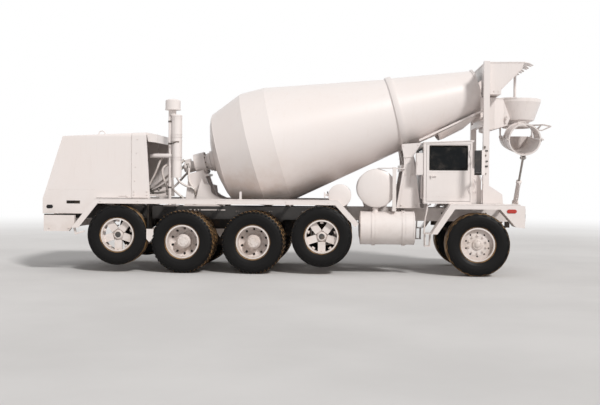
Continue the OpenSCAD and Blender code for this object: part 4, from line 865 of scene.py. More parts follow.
HOSE_RUNS = [
    [(-2.52, -0.6, 2.1), (-2.62, -0.6, 1.98), (-2.6, -0.56, 1.8), (-2.79, -0.52, 1.66), (-2.8, -0.5, 1.52)],
    [(-2.35, -0.54, 1.96), (-2.62, -0.6, 1.97), (-2.56, -0.56, 1.72), (-2.44, -0.5, 1.62), (-2.45, -0.46, 1.42)],
    [(-2.3, -0.4, 1.9), (-2.34, -0.4, 1.66), (-2.22, -0.36, 1.56), (-2.02, -0.34, 1.55), (-1.98, -0.34, 1.5)],
    [(-2.12, -0.2, 1.96), (-2.02, -0.3, 1.8), (-2.2, -0.34, 1.62), (-1.96, -0.3, 1.58), (-1.94, -0.3, 1.4)],
    [(-2.64, -0.36, 1.5), (-2.5, -0.4, 1.66), (-2.4, -0.38, 1.5), (-2.24, -0.34, 1.4), (-2.18, -0.33, 1.32)],
    [(-2.9, -0.15, 1.5), (-2.76, -0.18, 1.52), (-2.6, -0.23, 1.62), (-2.44, -0.24, 1.8), (-2.33, -0.16, 1.96),
     (-2.23, -0.09, 2.04)],
    [(-2.9, -0.06, 1.46), (-2.74, -0.08, 1.47), (-2.56, -0.12, 1.56), (-2.42, -0.11, 1.74), (-2.33, -0.02, 1.86),
     (-2.245, 0.035, 1.935)],
    [(-2.9, 0.06, 1.43), (-2.7, 0.09, 1.4), (-2.5, 0.13, 1.44), (-2.38, 0.14, 1.58), (-2.29, 0.12, 1.74),
     (-2.15, 0.11, 1.84)],
]


class MIXER_OT_hoses(bpy.types.Operator):
    """Hydraulic hoses between engine, pump, motor and tank, with their crimped ends"""
    bl_idname = "mixer.hoses"
    bl_label = "Hoses"

    def execute(self, context):
        radius = context.scene.mixer_sizes.hose_width / 2
        tubes, ends = [], []
        for run in HOSE_RUNS:
            points = curve_points(run, 26)
            tubes.append(pipe(points, radius, 2))
            for tip, inner in ((points[0], points[3]), (points[-1], points[-4])):
                out = (tip - inner).normalized()
                cuff = spun([(radius * 0.5, 0.0), (radius * 1.25, 0.002), (radius * 1.25, 0.045), (radius * 0.9,
                            0.052), (radius * 0.9, 0.07), (radius * 1.35, 0.072), (radius * 1.35, 0.095),
                            (0.0, 0.096)], "Z", 18)
                ends.append(place(smooth(cuff, 30), Matrix.Translation(tip - out * 0.07) @ facing(out)))
        give(join(tubes), "hydraulic_hoses", "hose", instead="hoses")
        give(join(ends), "hose_ends", "bare steel")
        return {"FINISHED"}


class MIXER_OT_stack_trim(bpy.types.Operator):
    """Heat shields, bands, cap and clamps of the exhaust stack, and the bolts of the drum's gearbox"""
    bl_idname = "mixer.stack_trim"
    bl_label = "Stack trim"

    def execute(self, context):
        shield = collar(0.0953, 0.1, 0.0, 0.33, 26, radians(250))
        turned = Matrix.Rotation(radians(-212), 4, "Z")
        shields = repeat(shield, [at(*STACK, z) @ turned for z in (2.085, 2.5)])
        bands = []
        for z in (2.09, 2.39, 2.51, 2.8):
            band = collar(0.1005, 0.104, z, z + 0.022, 36)
            bands.append(place(band, at(*STACK, 0)))
        rain = collar(0.141, 0.146, 2.968, 2.985, 40)
        top = spun([(0.136, 3.1372), (0.13, 3.15), (0.09, 3.166), (0.0, 3.172)], "Z", 40)
        cap = place(smooth(join([rain, top]), 30), at(-2.32, -0.62, 0))
        give(smooth(join([shields] + bands + [cap]), 30), "stack_shields", "body paint")
        clamp = collar(0.0272, 0.034, 0, 0.03, 20)
        clamps = repeat(clamp, [at(-2.376, -0.62, z) for z in (1.52, 2.33, 2.74)])
        arm = pipe([(-2.36, -0.7, 2.345), (-2.3, -0.725, 2.352), (-2.24, -0.722, 2.375), (-2.19, -0.7, 2.375)],
                   0.011)
        give(join([smooth(clamps, 30), arm]), "stack_clamps", "dark steel")
        bolts = repeat(hex_bolt(0.026, 0.014), [DRUM_FRAME @ m @ at(0.19, 0, -0.9095) for m in round_axis(12,
                       "Z")])
        rim = repeat(hex_bolt(0.024, 0.012), [DRUM_FRAME @ m @ at(0.128, 0, -1.1205) @ Matrix.Rotation(pi, 4,
                     "X") for m in round_axis(8, "Z", 0.2)])
        give(join([bolts, rim]), "gearbox_bolts", "dark steel")
        return {"FINISHED"}


# ---- Drum, pedestals, tanks ----

def drum_bead(radius, s, wide, high, steps=120):
    """A weld bead round the drum at one station of its axis."""
    bead = spun([(radius - 0.002, s - wide), (radius + high, s - wide * 0.5), (radius + high, s + wide * 0.5),
                (radius - 0.002, s + wide)], "Z", steps)
    return place(smooth(bead, 80), DRUM_FRAME)


class MIXER_OT_drum_trim(bpy.types.Operator):
    """Weld beads of the drum's seams, the roller track and the mouth's rim"""
    bl_idname = "mixer.drum_trim"
    bl_label = "Drum trim"

    def execute(self, context):
        beads = [drum_bead(1.105, 0.06, 0.006, 0.0012), drum_bead(1.1045, 0.528, 0.006, 0.001), drum_bead(0.8625,
                 -0.548, 0.006, 0.003)]
        give(join(beads), "drum_welds", "drum paint", "drum")
        rim = spun([(0.449, 4.38), (0.457, 4.384), (0.457, 4.396), (0.447, 4.4), (0.427, 4.4), (0.423, 4.392),
                   (0.425, 4.38)], "Z", 96)
        give(place(smooth(rim, 40), DRUM_FRAME), "drum_mouth_rim", "drum paint", "drum")
        band = spun([(0.7151, 2.791), (0.7156, 2.793), (0.7156, 2.877), (0.7151, 2.879)], "Z", 120)
        give(place(smooth(band, 40), DRUM_FRAME), "roller_track", "drum paint", "drum")
        return {"FINISHED"}


class MIXER_OT_pedestal_trim(bpy.types.Operator):
    """Plates, gussets, bolts and grease lines of the drum's pedestals and roller guards"""
    bl_idname = "mixer.pedestal_trim"
    bl_label = "Pedestal trim"

    def execute(self, context):
        web = sheet([(1.862, 0.6901, 1.196), (2.198, 0.6901, 1.196), (2.116, 0.6901, 1.86), (1.966, 0.6901,
                    1.86)], (0, 0.006, 0), edge=0.0015)
        foot = block((1.8, 0.56, 1.1856), (2.26, 0.7, 1.2), 0.003)
        bolts = bolt_row(bpy.context.scene.mixer_sizes.bolt_width, 0.016, [(x, 0.6964, z)
                         for x, z in ((1.9, 1.24), (2.16, 1.24), (1.985, 1.8), (2.1, 1.8))])
        line = pipe(curve_points([(2.06, 0.7, 1.6), (2.03, 0.706, 1.72), (2.1, 0.71, 1.8), (2.06, 0.7, 1.95),
                    (2.1, 0.696, 2.02)], 18), 0.006, 2)
        give(both_sides(join([web, foot, bolts, line])), "pedestal_plates", "chassis paint")
        gusset = sheet([(-1.924, 0.4, 1.1856), (-1.924, 0.4, 1.313), (-1.855, 0.4, 1.61), (-1.812, 0.4, 1.712),
                       (-1.769, 0.4, 1.611), (-1.65, 0.4, 1.577), (-1.633, 0.4, 1.442), (-1.565, 0.4, 1.391),
                       (-1.394, 0.4, 1.308), (-1.38, 0.4, 1.1856)], (0, 0.012, 0), edge=0.002)
        give(both_sides(gusset), "rear_pedestal_gussets", "body paint")
        guard = bolt_row(0.022, 0.01, [(x, 0.6725, z) for x, z in ((1.985, 1.955), (2.09, 1.955), (1.975, 2.1),
                         (2.08, 2.1), (2.2, 2.34), (1.94, 2.32))])
        rib = block((1.925, 0.6721, 2.112), (2.128, 0.684, 2.124), 0.002)
        give(both_sides(join([guard, rib])), "roller_guard_bolts", "chassis paint")
        return {"FINISHED"}


class MIXER_OT_tank_trim(bpy.types.Operator):
    """Dished ends, rims, straps, caps, valves and the water line of the tanks"""
    bl_idname = "mixer.tank_trim"
    bl_label = "Tank trim"

    def execute(self, context):
        water = spun([(1.0195, 0.34), (1.03, 0.336), (1.04, 0.318), (1.056, 0.22), (1.064, 0.11), (1.066, 0.0)],
                     steps=72)
        water_rim = spun([(1.006, 0.3405), (1.006, 0.3455), (1.026, 0.3455), (1.03, 0.338)], steps=72)
        place(join([smooth(water, 40), smooth(water_rim, 30)]), at(1.44, 0, 1.547))
        both = [bpy.context.object]
        oil = spun([(1.0395, 0.205), (1.05, 0.201), (1.058, 0.18), (1.068, 0.09), (1.07, 0.0)], steps=56)
        both.append(place(smooth(oil, 40), at(0.785, 0, 1.408)))
        dish = [(0.0, 0.297), (0.01, 0.292), (0.018, 0.27), (0.026, 0.15), (0.028, 0.0)]
        for x, way in ((1.165, -1), (2.11, 1)):
            end = spun([(way * (d - 0.0005), r) for d, r in dish], "X", 64)
            rim = spun([(way * (0.001 + d), r) for d, r in ((-0.016, 0.2972), (-0.016, 0.3015), (0.004, 0.3015),
                       (0.008, 0.29))], "X", 64)
            both.append(place(join([smooth(end, 40), smooth(rim, 30)]), at(x, *FUEL_TANK)))
        give(both_sides(join(both)), "tank_ends", "body paint")
        straps = []
        for x in (1.36, 1.9):
            for shift in (-0.004, 0.052):
                straps.append(place(strap(0.3031, 0.3065, 0, 0.012, 64), at(x + shift, *FUEL_TANK)))
            bolt = bolt_at(0.024, 0.03, (x + 0.03, 1.02, 1.112), (0, 0.4, 1))
            straps.append(bolt)
        cap = spun([(0.052, 1.164), (0.056, 1.168), (0.056, 1.192), (0.046, 1.198), (0.0, 1.199)], "Z", 28)
        straps.append(place(smooth(cap, 30), at(1.425, 0.94, 0)))
        give(both_sides(smooth(join(straps), 30)), "tank_straps", "body paint")
        tap = join([block((0.502, 0.985, 1.371), (0.528, 1.025, 1.469), 0.006), pipe([(0.52, 1.005, 1.42),
                   (0.585, 1.005, 1.42)], 0.013, 2), bolt_at(0.044, 0.022, (0.552, 1.005, 1.42), (1, 0, 0))])
        rail = pipe([(1.445, 0.99, 1.893), (1.48, 1.035, 1.902), (1.7, 1.09, 1.904), (1.752, 1.085, 1.904),
                    (1.83, 0.94, 1.902), (1.96, 0.7, 1.9)], 0.01, 2)
        give(join([both_sides(tap), mirrored(rail)]), "tank_taps", "body paint")
        return {"FINISHED"}


# ---- Cab and front ----

def frame_round(x0, x1, z0, z1, y, wide, thick, radius):
    """A rubber seal round a window in a side wall: a rounded loop with a round section."""
    points = []
    for cx, cz, start in ((x1 - radius, z1 - radius, 0), (x0 + radius, z1 - radius, 90),
                          (x0 + radius, z0 + radius, 180), (x1 - radius, z0 + radius, 270)):
        for k in range(5):
            a = radians(start + 22.5 * k)
            points.append((cx + radius * cos(a), y, cz + radius * sin(a)))
    trace(points + [points[0]])
    bpy.ops.mesh.select_all(action="SELECT")
    bpy.ops.mesh.remove_doubles(threshold=2 * MERGE)
    to_mode("OBJECT")
    piece = swept(wide / 2, 2, capped=False)
    middle = Vector((0, y, 0))
    place(piece, Matrix.Translation(middle) @ Matrix.Scale(thick / wide, 4, (0, 1, 0))
          @ Matrix.Translation(-middle))
    to_mode("EDIT")
    close_up()
    return smooth(piece, 60)


class MIXER_OT_cab_trim(bpy.types.Operator):
    """Seals, rain rail, handles, wipers and seams of the cab and its doors"""
    bl_idname = "mixer.cab_trim"
    bl_label = "Cab trim"

    def execute(self, context):
        for side, word in ((-1, "right"), (1, "left")):
            seal = frame_round(2.386, 3.052, 1.88, 2.31, side * 0.9505, 0.02, 0.009, 0.03)
            give(seal, "window_seal_" + word, "seal", "door_" + word)
            lever = join([block((2.397, 0.9705, 1.7615), (2.503, 0.9785, 1.7785), 0.003), bolt_at(0.02, 0.008,
                         (2.415, 0.9718, 1.745))])
            crease = block((2.345, CAB_SIDE, 1.832), (3.085, 0.9518, 1.84), 0.0008)
            press = block((2.345, CAB_SIDE, 1.4), (3.085, 0.9516, 1.407), 0.0007)
            trim = join([lever, crease, press])
            if side < 0:
                mirrored(trim)
            give(trim, "door_trim_" + word, "body paint", "door_" + word)
        rain = both_sides(sheet([(2.282, CAB_SIDE, 2.362), (3.136, CAB_SIDE, 2.396), (3.136, CAB_SIDE, 2.403),
                          (2.282, CAB_SIDE, 2.369)], (0, 0.011, 0), edge=0.001))
        posts = both_sides(join([block((2.2815, CAB_SIDE, 1.29), (2.3, 0.9525, 2.352), 0.0008),
                           block((3.112, CAB_SIDE, 1.29), (3.137, 0.9525, 2.388), 0.0008)]))
        rear = both_sides(pipe([(2.279, 0.86, 1.36), (2.245, 0.86, 1.38), (2.245, 0.86, 1.76), (2.279, 0.86,
                          1.78)], 0.012))
        grab = both_sides(pipe([(3.139, 0.9, 1.5), (3.19, 0.9, 1.52), (3.19, 0.9, 1.72), (3.139, 0.9, 1.74)],
                          0.011))
        give(join([rain, posts, rear, grab]), "cab_rails", "body paint")
        shield = frame_round(-0.855, 0.855, 1.966, 2.324, 0, 0.024, 0.012, 0.045)
        place(shield, at(3.1402, 0, 0) @ Matrix.Rotation(pi / 2, 4, "Z"))
        back = frame_round(-0.725, 0.725, 1.906, 2.284, 0, 0.024, 0.012, 0.045)
        place(back, at(2.2798, 0, 0) @ Matrix.Rotation(pi / 2, 4, "Z"))
        wipers = []
        for y in (-0.42, 0.36):
            arm = pipe([(3.166, y, 1.952), (3.158, y + 0.02, 2.02), (3.15, y + 0.1, 2.19)], 0.006, 2)
            blade = pipe([(3.136, y - 0.06, 2.12), (3.133, y + 0.1, 2.19), (3.136, y + 0.26, 2.26)], 0.007, 2)
            pivot = bolt_at(0.028, 0.02, (3.152, y, 1.936), (1, 0, 0.3))
            wipers += [arm, blade, pivot]
        give(join([shield, back]), "cab_seals", "seal")
        give(join(wipers), "wipers", "black")
        lid = join([block((2.153, -0.9325, 1.8), (2.272, -0.9301, 2.17), 0.001), block((2.164, -0.94, 1.975),
                   (2.18, -0.9325, 2.015), 0.002)])
        give(lid, "box_lid", "body paint")
        return {"FINISHED"}


class MIXER_OT_mirrors(bpy.types.Operator):
    """Mirror heads with their glass, rims and brackets"""
    bl_idname = "mixer.mirrors"
    bl_label = "Mirrors"

    def execute(self, context):
        head = at(3.217, 1.287, 0) @ Matrix.Rotation(radians(-33), 4, "Z")
        # The glass is near black: a painted reflection.
        glass = block((-0.0375, -0.086, 1.826), (-0.0352, 0.086, 2.207), 0.001)
        give(both_sides(place(glass, head)), "mirror_glass", "mirror")
        rims = [block((-0.0385, y0, z0), (-0.0352, y1, z1), 0.0012) for y0, y1, z0, z1 in ((-0.0935, 0.09, 1.787,
                1.822), (-0.0935, 0.09, 2.209, 2.2165), (-0.0935, -0.0872, 1.823, 2.208), (0.0865, 0.09, 1.823,
                2.208))]
        give(both_sides(place(join(rims), head)), "mirror_rims", "black")
        stays = []
        for z in (1.816, 2.187):
            cuff = collar(0.0135, 0.021, 0, 0.04, 16)
            root = Vector((3.375, 0.85, z))
            along = Vector((3.21, 1.24, z)) - root
            stays.append(place(smooth(cuff, 30), at(*(root + along * 0.8)) @ facing(along)))
        brace = pipe([(3.35, 0.86, 1.62), (3.29, 1.04, 1.72), (3.222, 1.215, 1.8)], 0.007, 2)
        give(both_sides(join(stays + [brace])), "mirror_brackets", "body paint")
        clamps = [block((x0, 0.8552, z0), (x1, 0.87, z1), 0.002) for x0, x1, z0, z1 in ((3.358, 3.384, 2.27,
                  2.312), (3.372, 3.426, 2.216, 2.24), (3.358, 3.398, 2.128, 2.158), (3.388, 3.426, 2.03, 2.052),
                  (3.376, 3.426, 1.936, 1.966), (3.36, 3.4, 1.806, 1.826))]
        give(both_sides(join(clamps)), "mirror_clamps", "dark steel")
        return {"FINISHED"}


class MIXER_OT_hopper_trim(bpy.types.Operator):
    """Rails, stiffeners, bolts and wash line of the charge hopper, and rims, weld and latches of the collector"""
    bl_idname = "mixer.hopper_trim"
    bl_label = "Hopper and collector trim"

    def execute(self, context):
        rail = both_sides(block((3.383, HOPPER_SIDE, 3.813), (4.072, 0.753, 3.831), 0.002))
        stiff = both_sides(join([block((3.455, HOPPER_SIDE, 3.26), (3.47, 0.756, 3.806), 0.002),
                           sheet([(3.678, HOPPER_SIDE, 3.352), (4.014, HOPPER_SIDE, 3.69), (4.006, HOPPER_SIDE,
                           3.7), (3.67, HOPPER_SIDE, 3.362)], (0, 0.007, 0), edge=0.001)]))
        back = block((3.374, -0.744, 3.806), (3.3809, 0.744, 3.831), 0.002)
        give(join([rail, stiff, back]), "hopper_rails", "hopper paint")
        out = facing((0, 1, 0))
        bolts = [at(x, 0.745, z) @ out for x, z in ((3.42, 3.3), (3.42, 3.42), (3.42, 3.54), (3.42, 3.66),
                 (3.42, 3.78), (3.62, 3.3), (3.54, 3.3))]
        give(both_sides(repeat(hex_bolt(0.024, 0.01), bolts)), "hopper_bolts", "hopper paint")
        bowl = spun([(0.4335, 3.2202), (0.4335, 3.229), (0.445, 3.232), (0.453, 3.227), (0.453, 3.208),
                    (0.4452, 3.206)], "Z", 64, radians(200))
        place(smooth(bowl, 40), at(4.08, 0, 0) @ Matrix.Rotation(radians(-100), 4, "Z"))
        bowl_rim = bpy.context.object
        sides = both_sides(join([sheet([(3.452, COLLECTOR_SIDE, 3.203), (3.601, COLLECTOR_SIDE, 3.203),
                           (3.786, COLLECTOR_NOSE, 3.203), (3.799, COLLECTOR_NOSE, 3.203), (3.799, 0.3522, 3.203),
                           (3.789, 0.3522, 3.203), (3.604, 0.4772, 3.203), (3.452, 0.4772, 3.203)], (0, 0, 0.016),
                           edge=0.001), sheet([(3.462, COLLECTOR_SIDE, 2.652), (3.532, COLLECTOR_SIDE, 2.632),
                           (3.598, COLLECTOR_SIDE, 2.652), (3.598, COLLECTOR_SIDE, 2.666), (3.532, COLLECTOR_SIDE,
                           2.646), (3.462, COLLECTOR_SIDE, 2.664)], (0, 0.006, 0), edge=0.001)]))
        weld = spun([(0.3252, 2.826), (0.3292, 2.833), (0.3262, 2.842)], "Z", 64, radians(190))
        place(smooth(weld, 60), at(4.08, 0, 0) @ Matrix.Rotation(radians(-95), 4, "Z"))
        weld = bpy.context.object
        give(join([bowl_rim, sides, weld]), "collector_rims", "hopper paint")
        latch = join([block((3.812, 0.3453, 2.76), (3.838, 0.375, 2.86), 0.003), bolt_at(0.03, 0.016,
                     (3.825, 0.3751, 2.835)), pipe([(3.8, 0.361, 2.86), (3.83, 0.372, 2.9), (3.86, 0.361, 2.87)],
                     0.007, 2)])
        give(both_sides(latch), "collector_latches", "hopper paint")
        hook = both_sides(pipe(curve_points([(3.392, 0.752, 3.79), (3.4, 0.775, 3.75), (3.46, 0.772, 3.66),
                          (3.455, 0.76, 3.58), (3.43, 0.752, 3.56)], 14), 0.009, 2))
        give(hook, "hopper_wash_line", "dark steel")
        return {"FINISHED"}


# ---- Chute ----

class MIXER_OT_chute_trim(bpy.types.Operator):
    """Bolts of the swing ring, and bands, rims, hinge bolts, grip and latches of both chutes"""
    bl_idname = "mixer.chute_trim"
    bl_label = "Chute trim"

    def execute(self, context):
        ring = spun([(0.2902, 2.718), (0.2945, 2.72), (0.2945, 2.73), (0.2902, 2.732)], "Z", 72)
        teeth = repeat(hex_bolt(0.02, 0.01), [m @ at(0.262, 0, 2.7451) for m in round_axis(12, "Z", 0.13)])
        pins = repeat(hex_bolt(0.042, 0.01), [at(0, y * 0.3022, CHUTE_PIN) @ facing((0, y, 0)) for y in (-1, 1)])
        give(place(join([ring, teeth, pins]), CHUTE_FRAME), "swing_ring_bolts", "chute paint", "chute_swing")
        bands = [strap(0.2702, 0.2755, x, x + 0.02, 40, pi) for x in (0.1, 0.34)]
        bands = [place(smooth(b, 30), Matrix.Rotation(radians(-90), 4, "X")) for b in bands]
        rims = both_sides(block((-0.08, 0.27, -0.013), (0.945, 0.276, -0.004), 0.002))
        rib = block((0.12, -0.012, -0.288), (0.7, 0.012, -0.2702), 0.003)
        hinge = both_sides(bolt_at(0.026, 0.01, (0.9675, 0.3162, 0)))
        give(place(join(bands + [rims, rib, hinge]), TROUGH_FRAME), "chute_bands", "chute paint", "chute")
        hoop = [strap(0.2702, 0.2755, x, x + 0.018, 40, pi) for x in (0.52, 0.76)]
        hoop = [place(smooth(b, 30), Matrix.Rotation(radians(90), 4, "X")) for b in hoop]
        grip = pipe([(0.6, -0.07, 0.262), (0.6, -0.06, 0.3), (0.6, 0.06, 0.3), (0.6, 0.07, 0.262)], 0.009, 2)
        lips = both_sides(block((0.388, 0.27, 0.006), (0.94, 0.275, 0.014), 0.0015))
        latch = both_sides(join([block((0.38, 0.286, 0.006), (0.42, 0.302, 0.05), 0.003),
                           block((0.394, 0.286, 0.01), (0.408, 0.33, 0.022), 0.003)]))
        give(place(join(hoop + [grip, lips, latch]), TROUGH_FRAME), "fold_bands", "chute paint", "chute_tip")
        return {"FINISHED"}


class MIXER_OT_cylinder_trim(bpy.types.Operator):
    """Gland, ports and pins of the chute's lifting cylinder"""
    bl_idname = "mixer.cylinder_trim"
    bl_label = "Cylinder trim"

    def execute(self, context):
        x, z = ROD_EYE
        across = x * cos(CHUTE_SLOPE) + z * sin(CHUTE_SLOPE)
        up = CHUTE_PIN - x * sin(CHUTE_SLOPE) + z * cos(CHUTE_SLOPE) - LIFT_PIN
        axis = CHUTE_FRAME @ at(0, 0, LIFT_PIN) @ Matrix.Rotation(atan2(across, up), 4, "Y")
        gland = spun([(0.0215, 0.5601), (0.036, 0.5601), (0.036, 0.57), (0.026, 0.574), (0.0215, 0.574)], "Z", 32)
        ports = [join([bolt_at(0.03, 0.02, (0.0495, 0, z), (1, 0, 0)), pipe([(0.066, 0, z), (0.085, 0, z),
                 (0.088, 0, z - 0.02), (0.088, 0, z - 0.09)], 0.009, 2)]) for z in (0.545, 0.16)]
        rest = pipe(curve_points([(0.088, 0, 0.455), (0.09, 0.0, 0.36), (0.086, 0.03, 0.3), (0.09, 0.02, 0.16),
                    (0.088, 0.0, 0.08)], 14), 0.01, 2)
        give(place(smooth(join([gland] + ports + [rest]), 30), axis), "cylinder_fittings", "body paint",
             "lift_barrel")
        nuts = repeat(hex_bolt(0.03, 0.01), [at(0, y * 0.0421, 0) @ facing((0, y, 0)) for y in (-1, 1)])
        give(place(nuts, TROUGH_FRAME @ at(ROD_EYE[0], 0, ROD_EYE[1])), "eye_nuts", "dark steel", "chute")
        return {"FINISHED"}


# ---- Chassis ----

class MIXER_OT_chassis_trim(bpy.types.Operator):
    """Bolts along the rails and bumper, fender edges, steps and mud flaps"""
    bl_idname = "mixer.chassis_trim"
    bl_label = "Chassis trim"

    def execute(self, context):
        width = context.scene.mixer_sizes.bolt_width
        out = facing((0, 1, 0))
        stations = []
        for x in (-4.4, -2.56, -1.98, -1.18, -0.56, 0.06, 0.76, 1.5, 2.03, 2.64, 3.4):
            stations += [at(x + 0.025, RAIL_SIDE, z) @ out for z in (1.0, 1.09)]
            stations += [at(x + 0.065, RAIL_SIDE, z) @ out for z in (1.0, 1.09)]
        give(both_sides(repeat(hex_bolt(width, 0.014), stations)), "rail_bolts", "dark steel")
        clips = [block((x0, 0.4302, 1.106), (x1, 0.441, 1.126), 0.001) for x0, x1 in ((-2.049, -1.997),
                 (-1.954, -1.929), (-1.88, -1.86), (-1.825, -1.517), (-1.5, -1.474), (-1.457, -1.363))]
        saddle = join([sheet([(-1.55, 0.556, 0.772), (-1.347, 0.556, 0.772), (-1.441, 0.556, 0.612)],
                      (0, 0.01, 0), edge=0.002), block((-1.47, 0.44, 0.7), (-1.42, 0.56, 0.76), 0.004)])
        give(both_sides(join(clips + [saddle])), "rail_clips", "body paint")
        back = facing((-1, 0, 0))
        bumper = [at(-4.5601, y, z) @ back for y in (0.365, 0.41) for z in (0.9, 0.985)]
        sides = [at(x, 1.1801, 0.79) @ out for x in (-4.46, -4.1)]
        give(both_sides(repeat(hex_bolt(width, 0.012), bumper + sides)), "bumper_bolts", "chassis paint")
        seal = block((-4.556, 1.15, 1.0242), (-4.01, 1.174, 1.044), 0.003)
        give(both_sides(seal), "bumper_seals", "seal")
        edge = sheet([(-3.64, FENDER_SIDE, 1.318), (-3.612, FENDER_SIDE, 1.328), (0.749, FENDER_SIDE, 1.328),
                     (0.762, FENDER_SIDE, 1.318)], (0, 0.004, 0), edge=0.001)
        under = block((-3.545, FENDER_SIDE, 1.2405), (0.69, 1.2235, 1.2485), 0.001)
        heads = bolt_row(0.022, 0.008, [(x + 0.03, FENDER_SIDE, 1.285) for x in (-3.54, -2.86, -1.44, -0.2,
                         0.56)])
        stub = join([block((-1.0, 1.175, 1.3302), (-0.96, 1.195, 1.468), 0.003), block((-1.02, 1.16, 1.3302),
                    (-0.94, 1.205, 1.338), 0.002)])
        front = block((2.76, 1.2301, 1.262), (3.935, 1.2335, 1.272), 0.001)
        foot = sheet([(-4.03, 1.14, 0.799), (-3.995, 1.14, 0.668), (-3.815, 1.14, 0.722), (-3.815, 1.14, 0.75),
                     (-3.962, 1.14, 0.712), (-3.985, 1.14, 0.799)], (0, 0.01, 0), edge=0.001)
        give(both_sides(join([edge, under, heads, stub, front, foot])), "fender_edges", "body paint")
        treads = []
        for x in (2.29, 2.312, 2.334, 2.356, 2.378):
            treads.append(block((x, 0.9, 0.7542), (x + 0.008, 1.18, 0.76), 0.0012))
        hanger = pipe([(2.3, 0.885, 0.76), (2.315, 0.885, 0.98), (2.35, 0.885, 1.16), (2.36, 0.885, 1.24),
                      (2.42, 0.872, 1.262)], 0.014)
        lower = [block((2.286, 0.93, 0.52), (2.4, 1.16, 0.532), 0.003)]
        for y in (0.95, 1.14):
            lower.append(pipe([(2.3, y, 0.742), (2.296, y, 0.64), (2.3, y, 0.526)], 0.009, 2))
            lower.append(pipe([(2.392, y, 0.742), (2.39, y, 0.64), (2.386, y, 0.526)], 0.009, 2))
        give(both_sides(join(treads + [hanger] + lower)), "cab_steps", "chassis paint")
        flap = block((-2.664, 0.83, 0.6), (-2.654, 1.205, 1.2395), 0.002)
        arm = block((-2.6535, 1.19, 0.63), (-2.63, 1.2055, 1.2395), 0.002)
        give(both_sides(join([flap, arm])), "mud_flaps", "seal")
        stay = both_sides(sheet([(-2.672, 1.206, 0.79), (-2.545, 1.206, 0.79), (-2.545, 1.206, 0.64),
                          (-2.62, 1.206, 0.552), (-2.672, 1.206, 0.61)], (0, 0.006, 0), edge=0.001))
        give(stay, "flap_stays", "body paint")
        return {"FINISHED"}


class MIXER_OT_lamps(bpy.types.Operator):
    """Marker, head and tail lamps with their bezels and ribbed lenses"""
    bl_idname = "mixer.lamps"
    bl_label = "Lamps"

    def execute(self, context):
        red = []
        lens = sheet(oval(3.79, 1.2303, 1.157, 0.051, 0.034), (0, 0.0117, 0), edge=0)
        red.append(round_edges(lens, 0.006, 3))
        for y in TAIL_LAMPS:
            tail = spun([(-4.5603, 0.047), (-4.574, 0.047), (-4.58, 0.04), (-4.582, 0.0)], "X", 36)
            red.append(place(smooth(tail, 40), at(0, y, 0.88)))
        give(both_sides(join(red)), "red_lamps", "red lens", instead="lamps")
        dark = round_edges(sheet(oval(-4.478, 1.1002, 1.176, 0.029, 0.032), (0, 0.01, 0), edge=0), 0.004, 2)
        give(both_sides(dark), "hood_marker_lamps", "black", "hood")
        heads, bezels = [], []
        glass = spun([(4.0485, 0.077), (4.05, 0.06), (4.0515, 0.0)], "X", 40)
        heads.append(place(smooth(glass, 60), at(*HEADLAMP)))
        bezel = spun([(4.0203, 0.085), (4.046, 0.085), (4.05, 0.081), (4.046, 0.077), (4.03, 0.07),
                     (4.0205, 0.0)], "X", 40)
        bezels.append(place(smooth(bezel, 35), at(*HEADLAMP)))
        for y in TAIL_LAMPS:
            ring = spun([(-4.5602, 0.055), (-4.576, 0.055), (-4.578, 0.051), (-4.574, 0.0475), (-4.5602, 0.0475)],
                        "X", 36)
            bezels.append(place(smooth(ring, 35), at(0, y, 0.88)))
        give(both_sides(join(heads)), "headlamp_glass", "clear lens")
        give(both_sides(join(bezels)), "lamp_bezels", "bare steel")
        return {"FINISHED"}


# ---- Stage ----

def straight_rays(tree):
    """One for the camera's rays, also in reflections and through glass, none for the rays that light the pieces."""
    rays = node(tree, "ShaderNodeLightPath").outputs
    return maths(tree, "MAXIMUM", maths(tree, "MAXIMUM", rays["Is Camera Ray"], rays["Is Glossy Ray"]),
                 rays["Is Transmission Ray"])


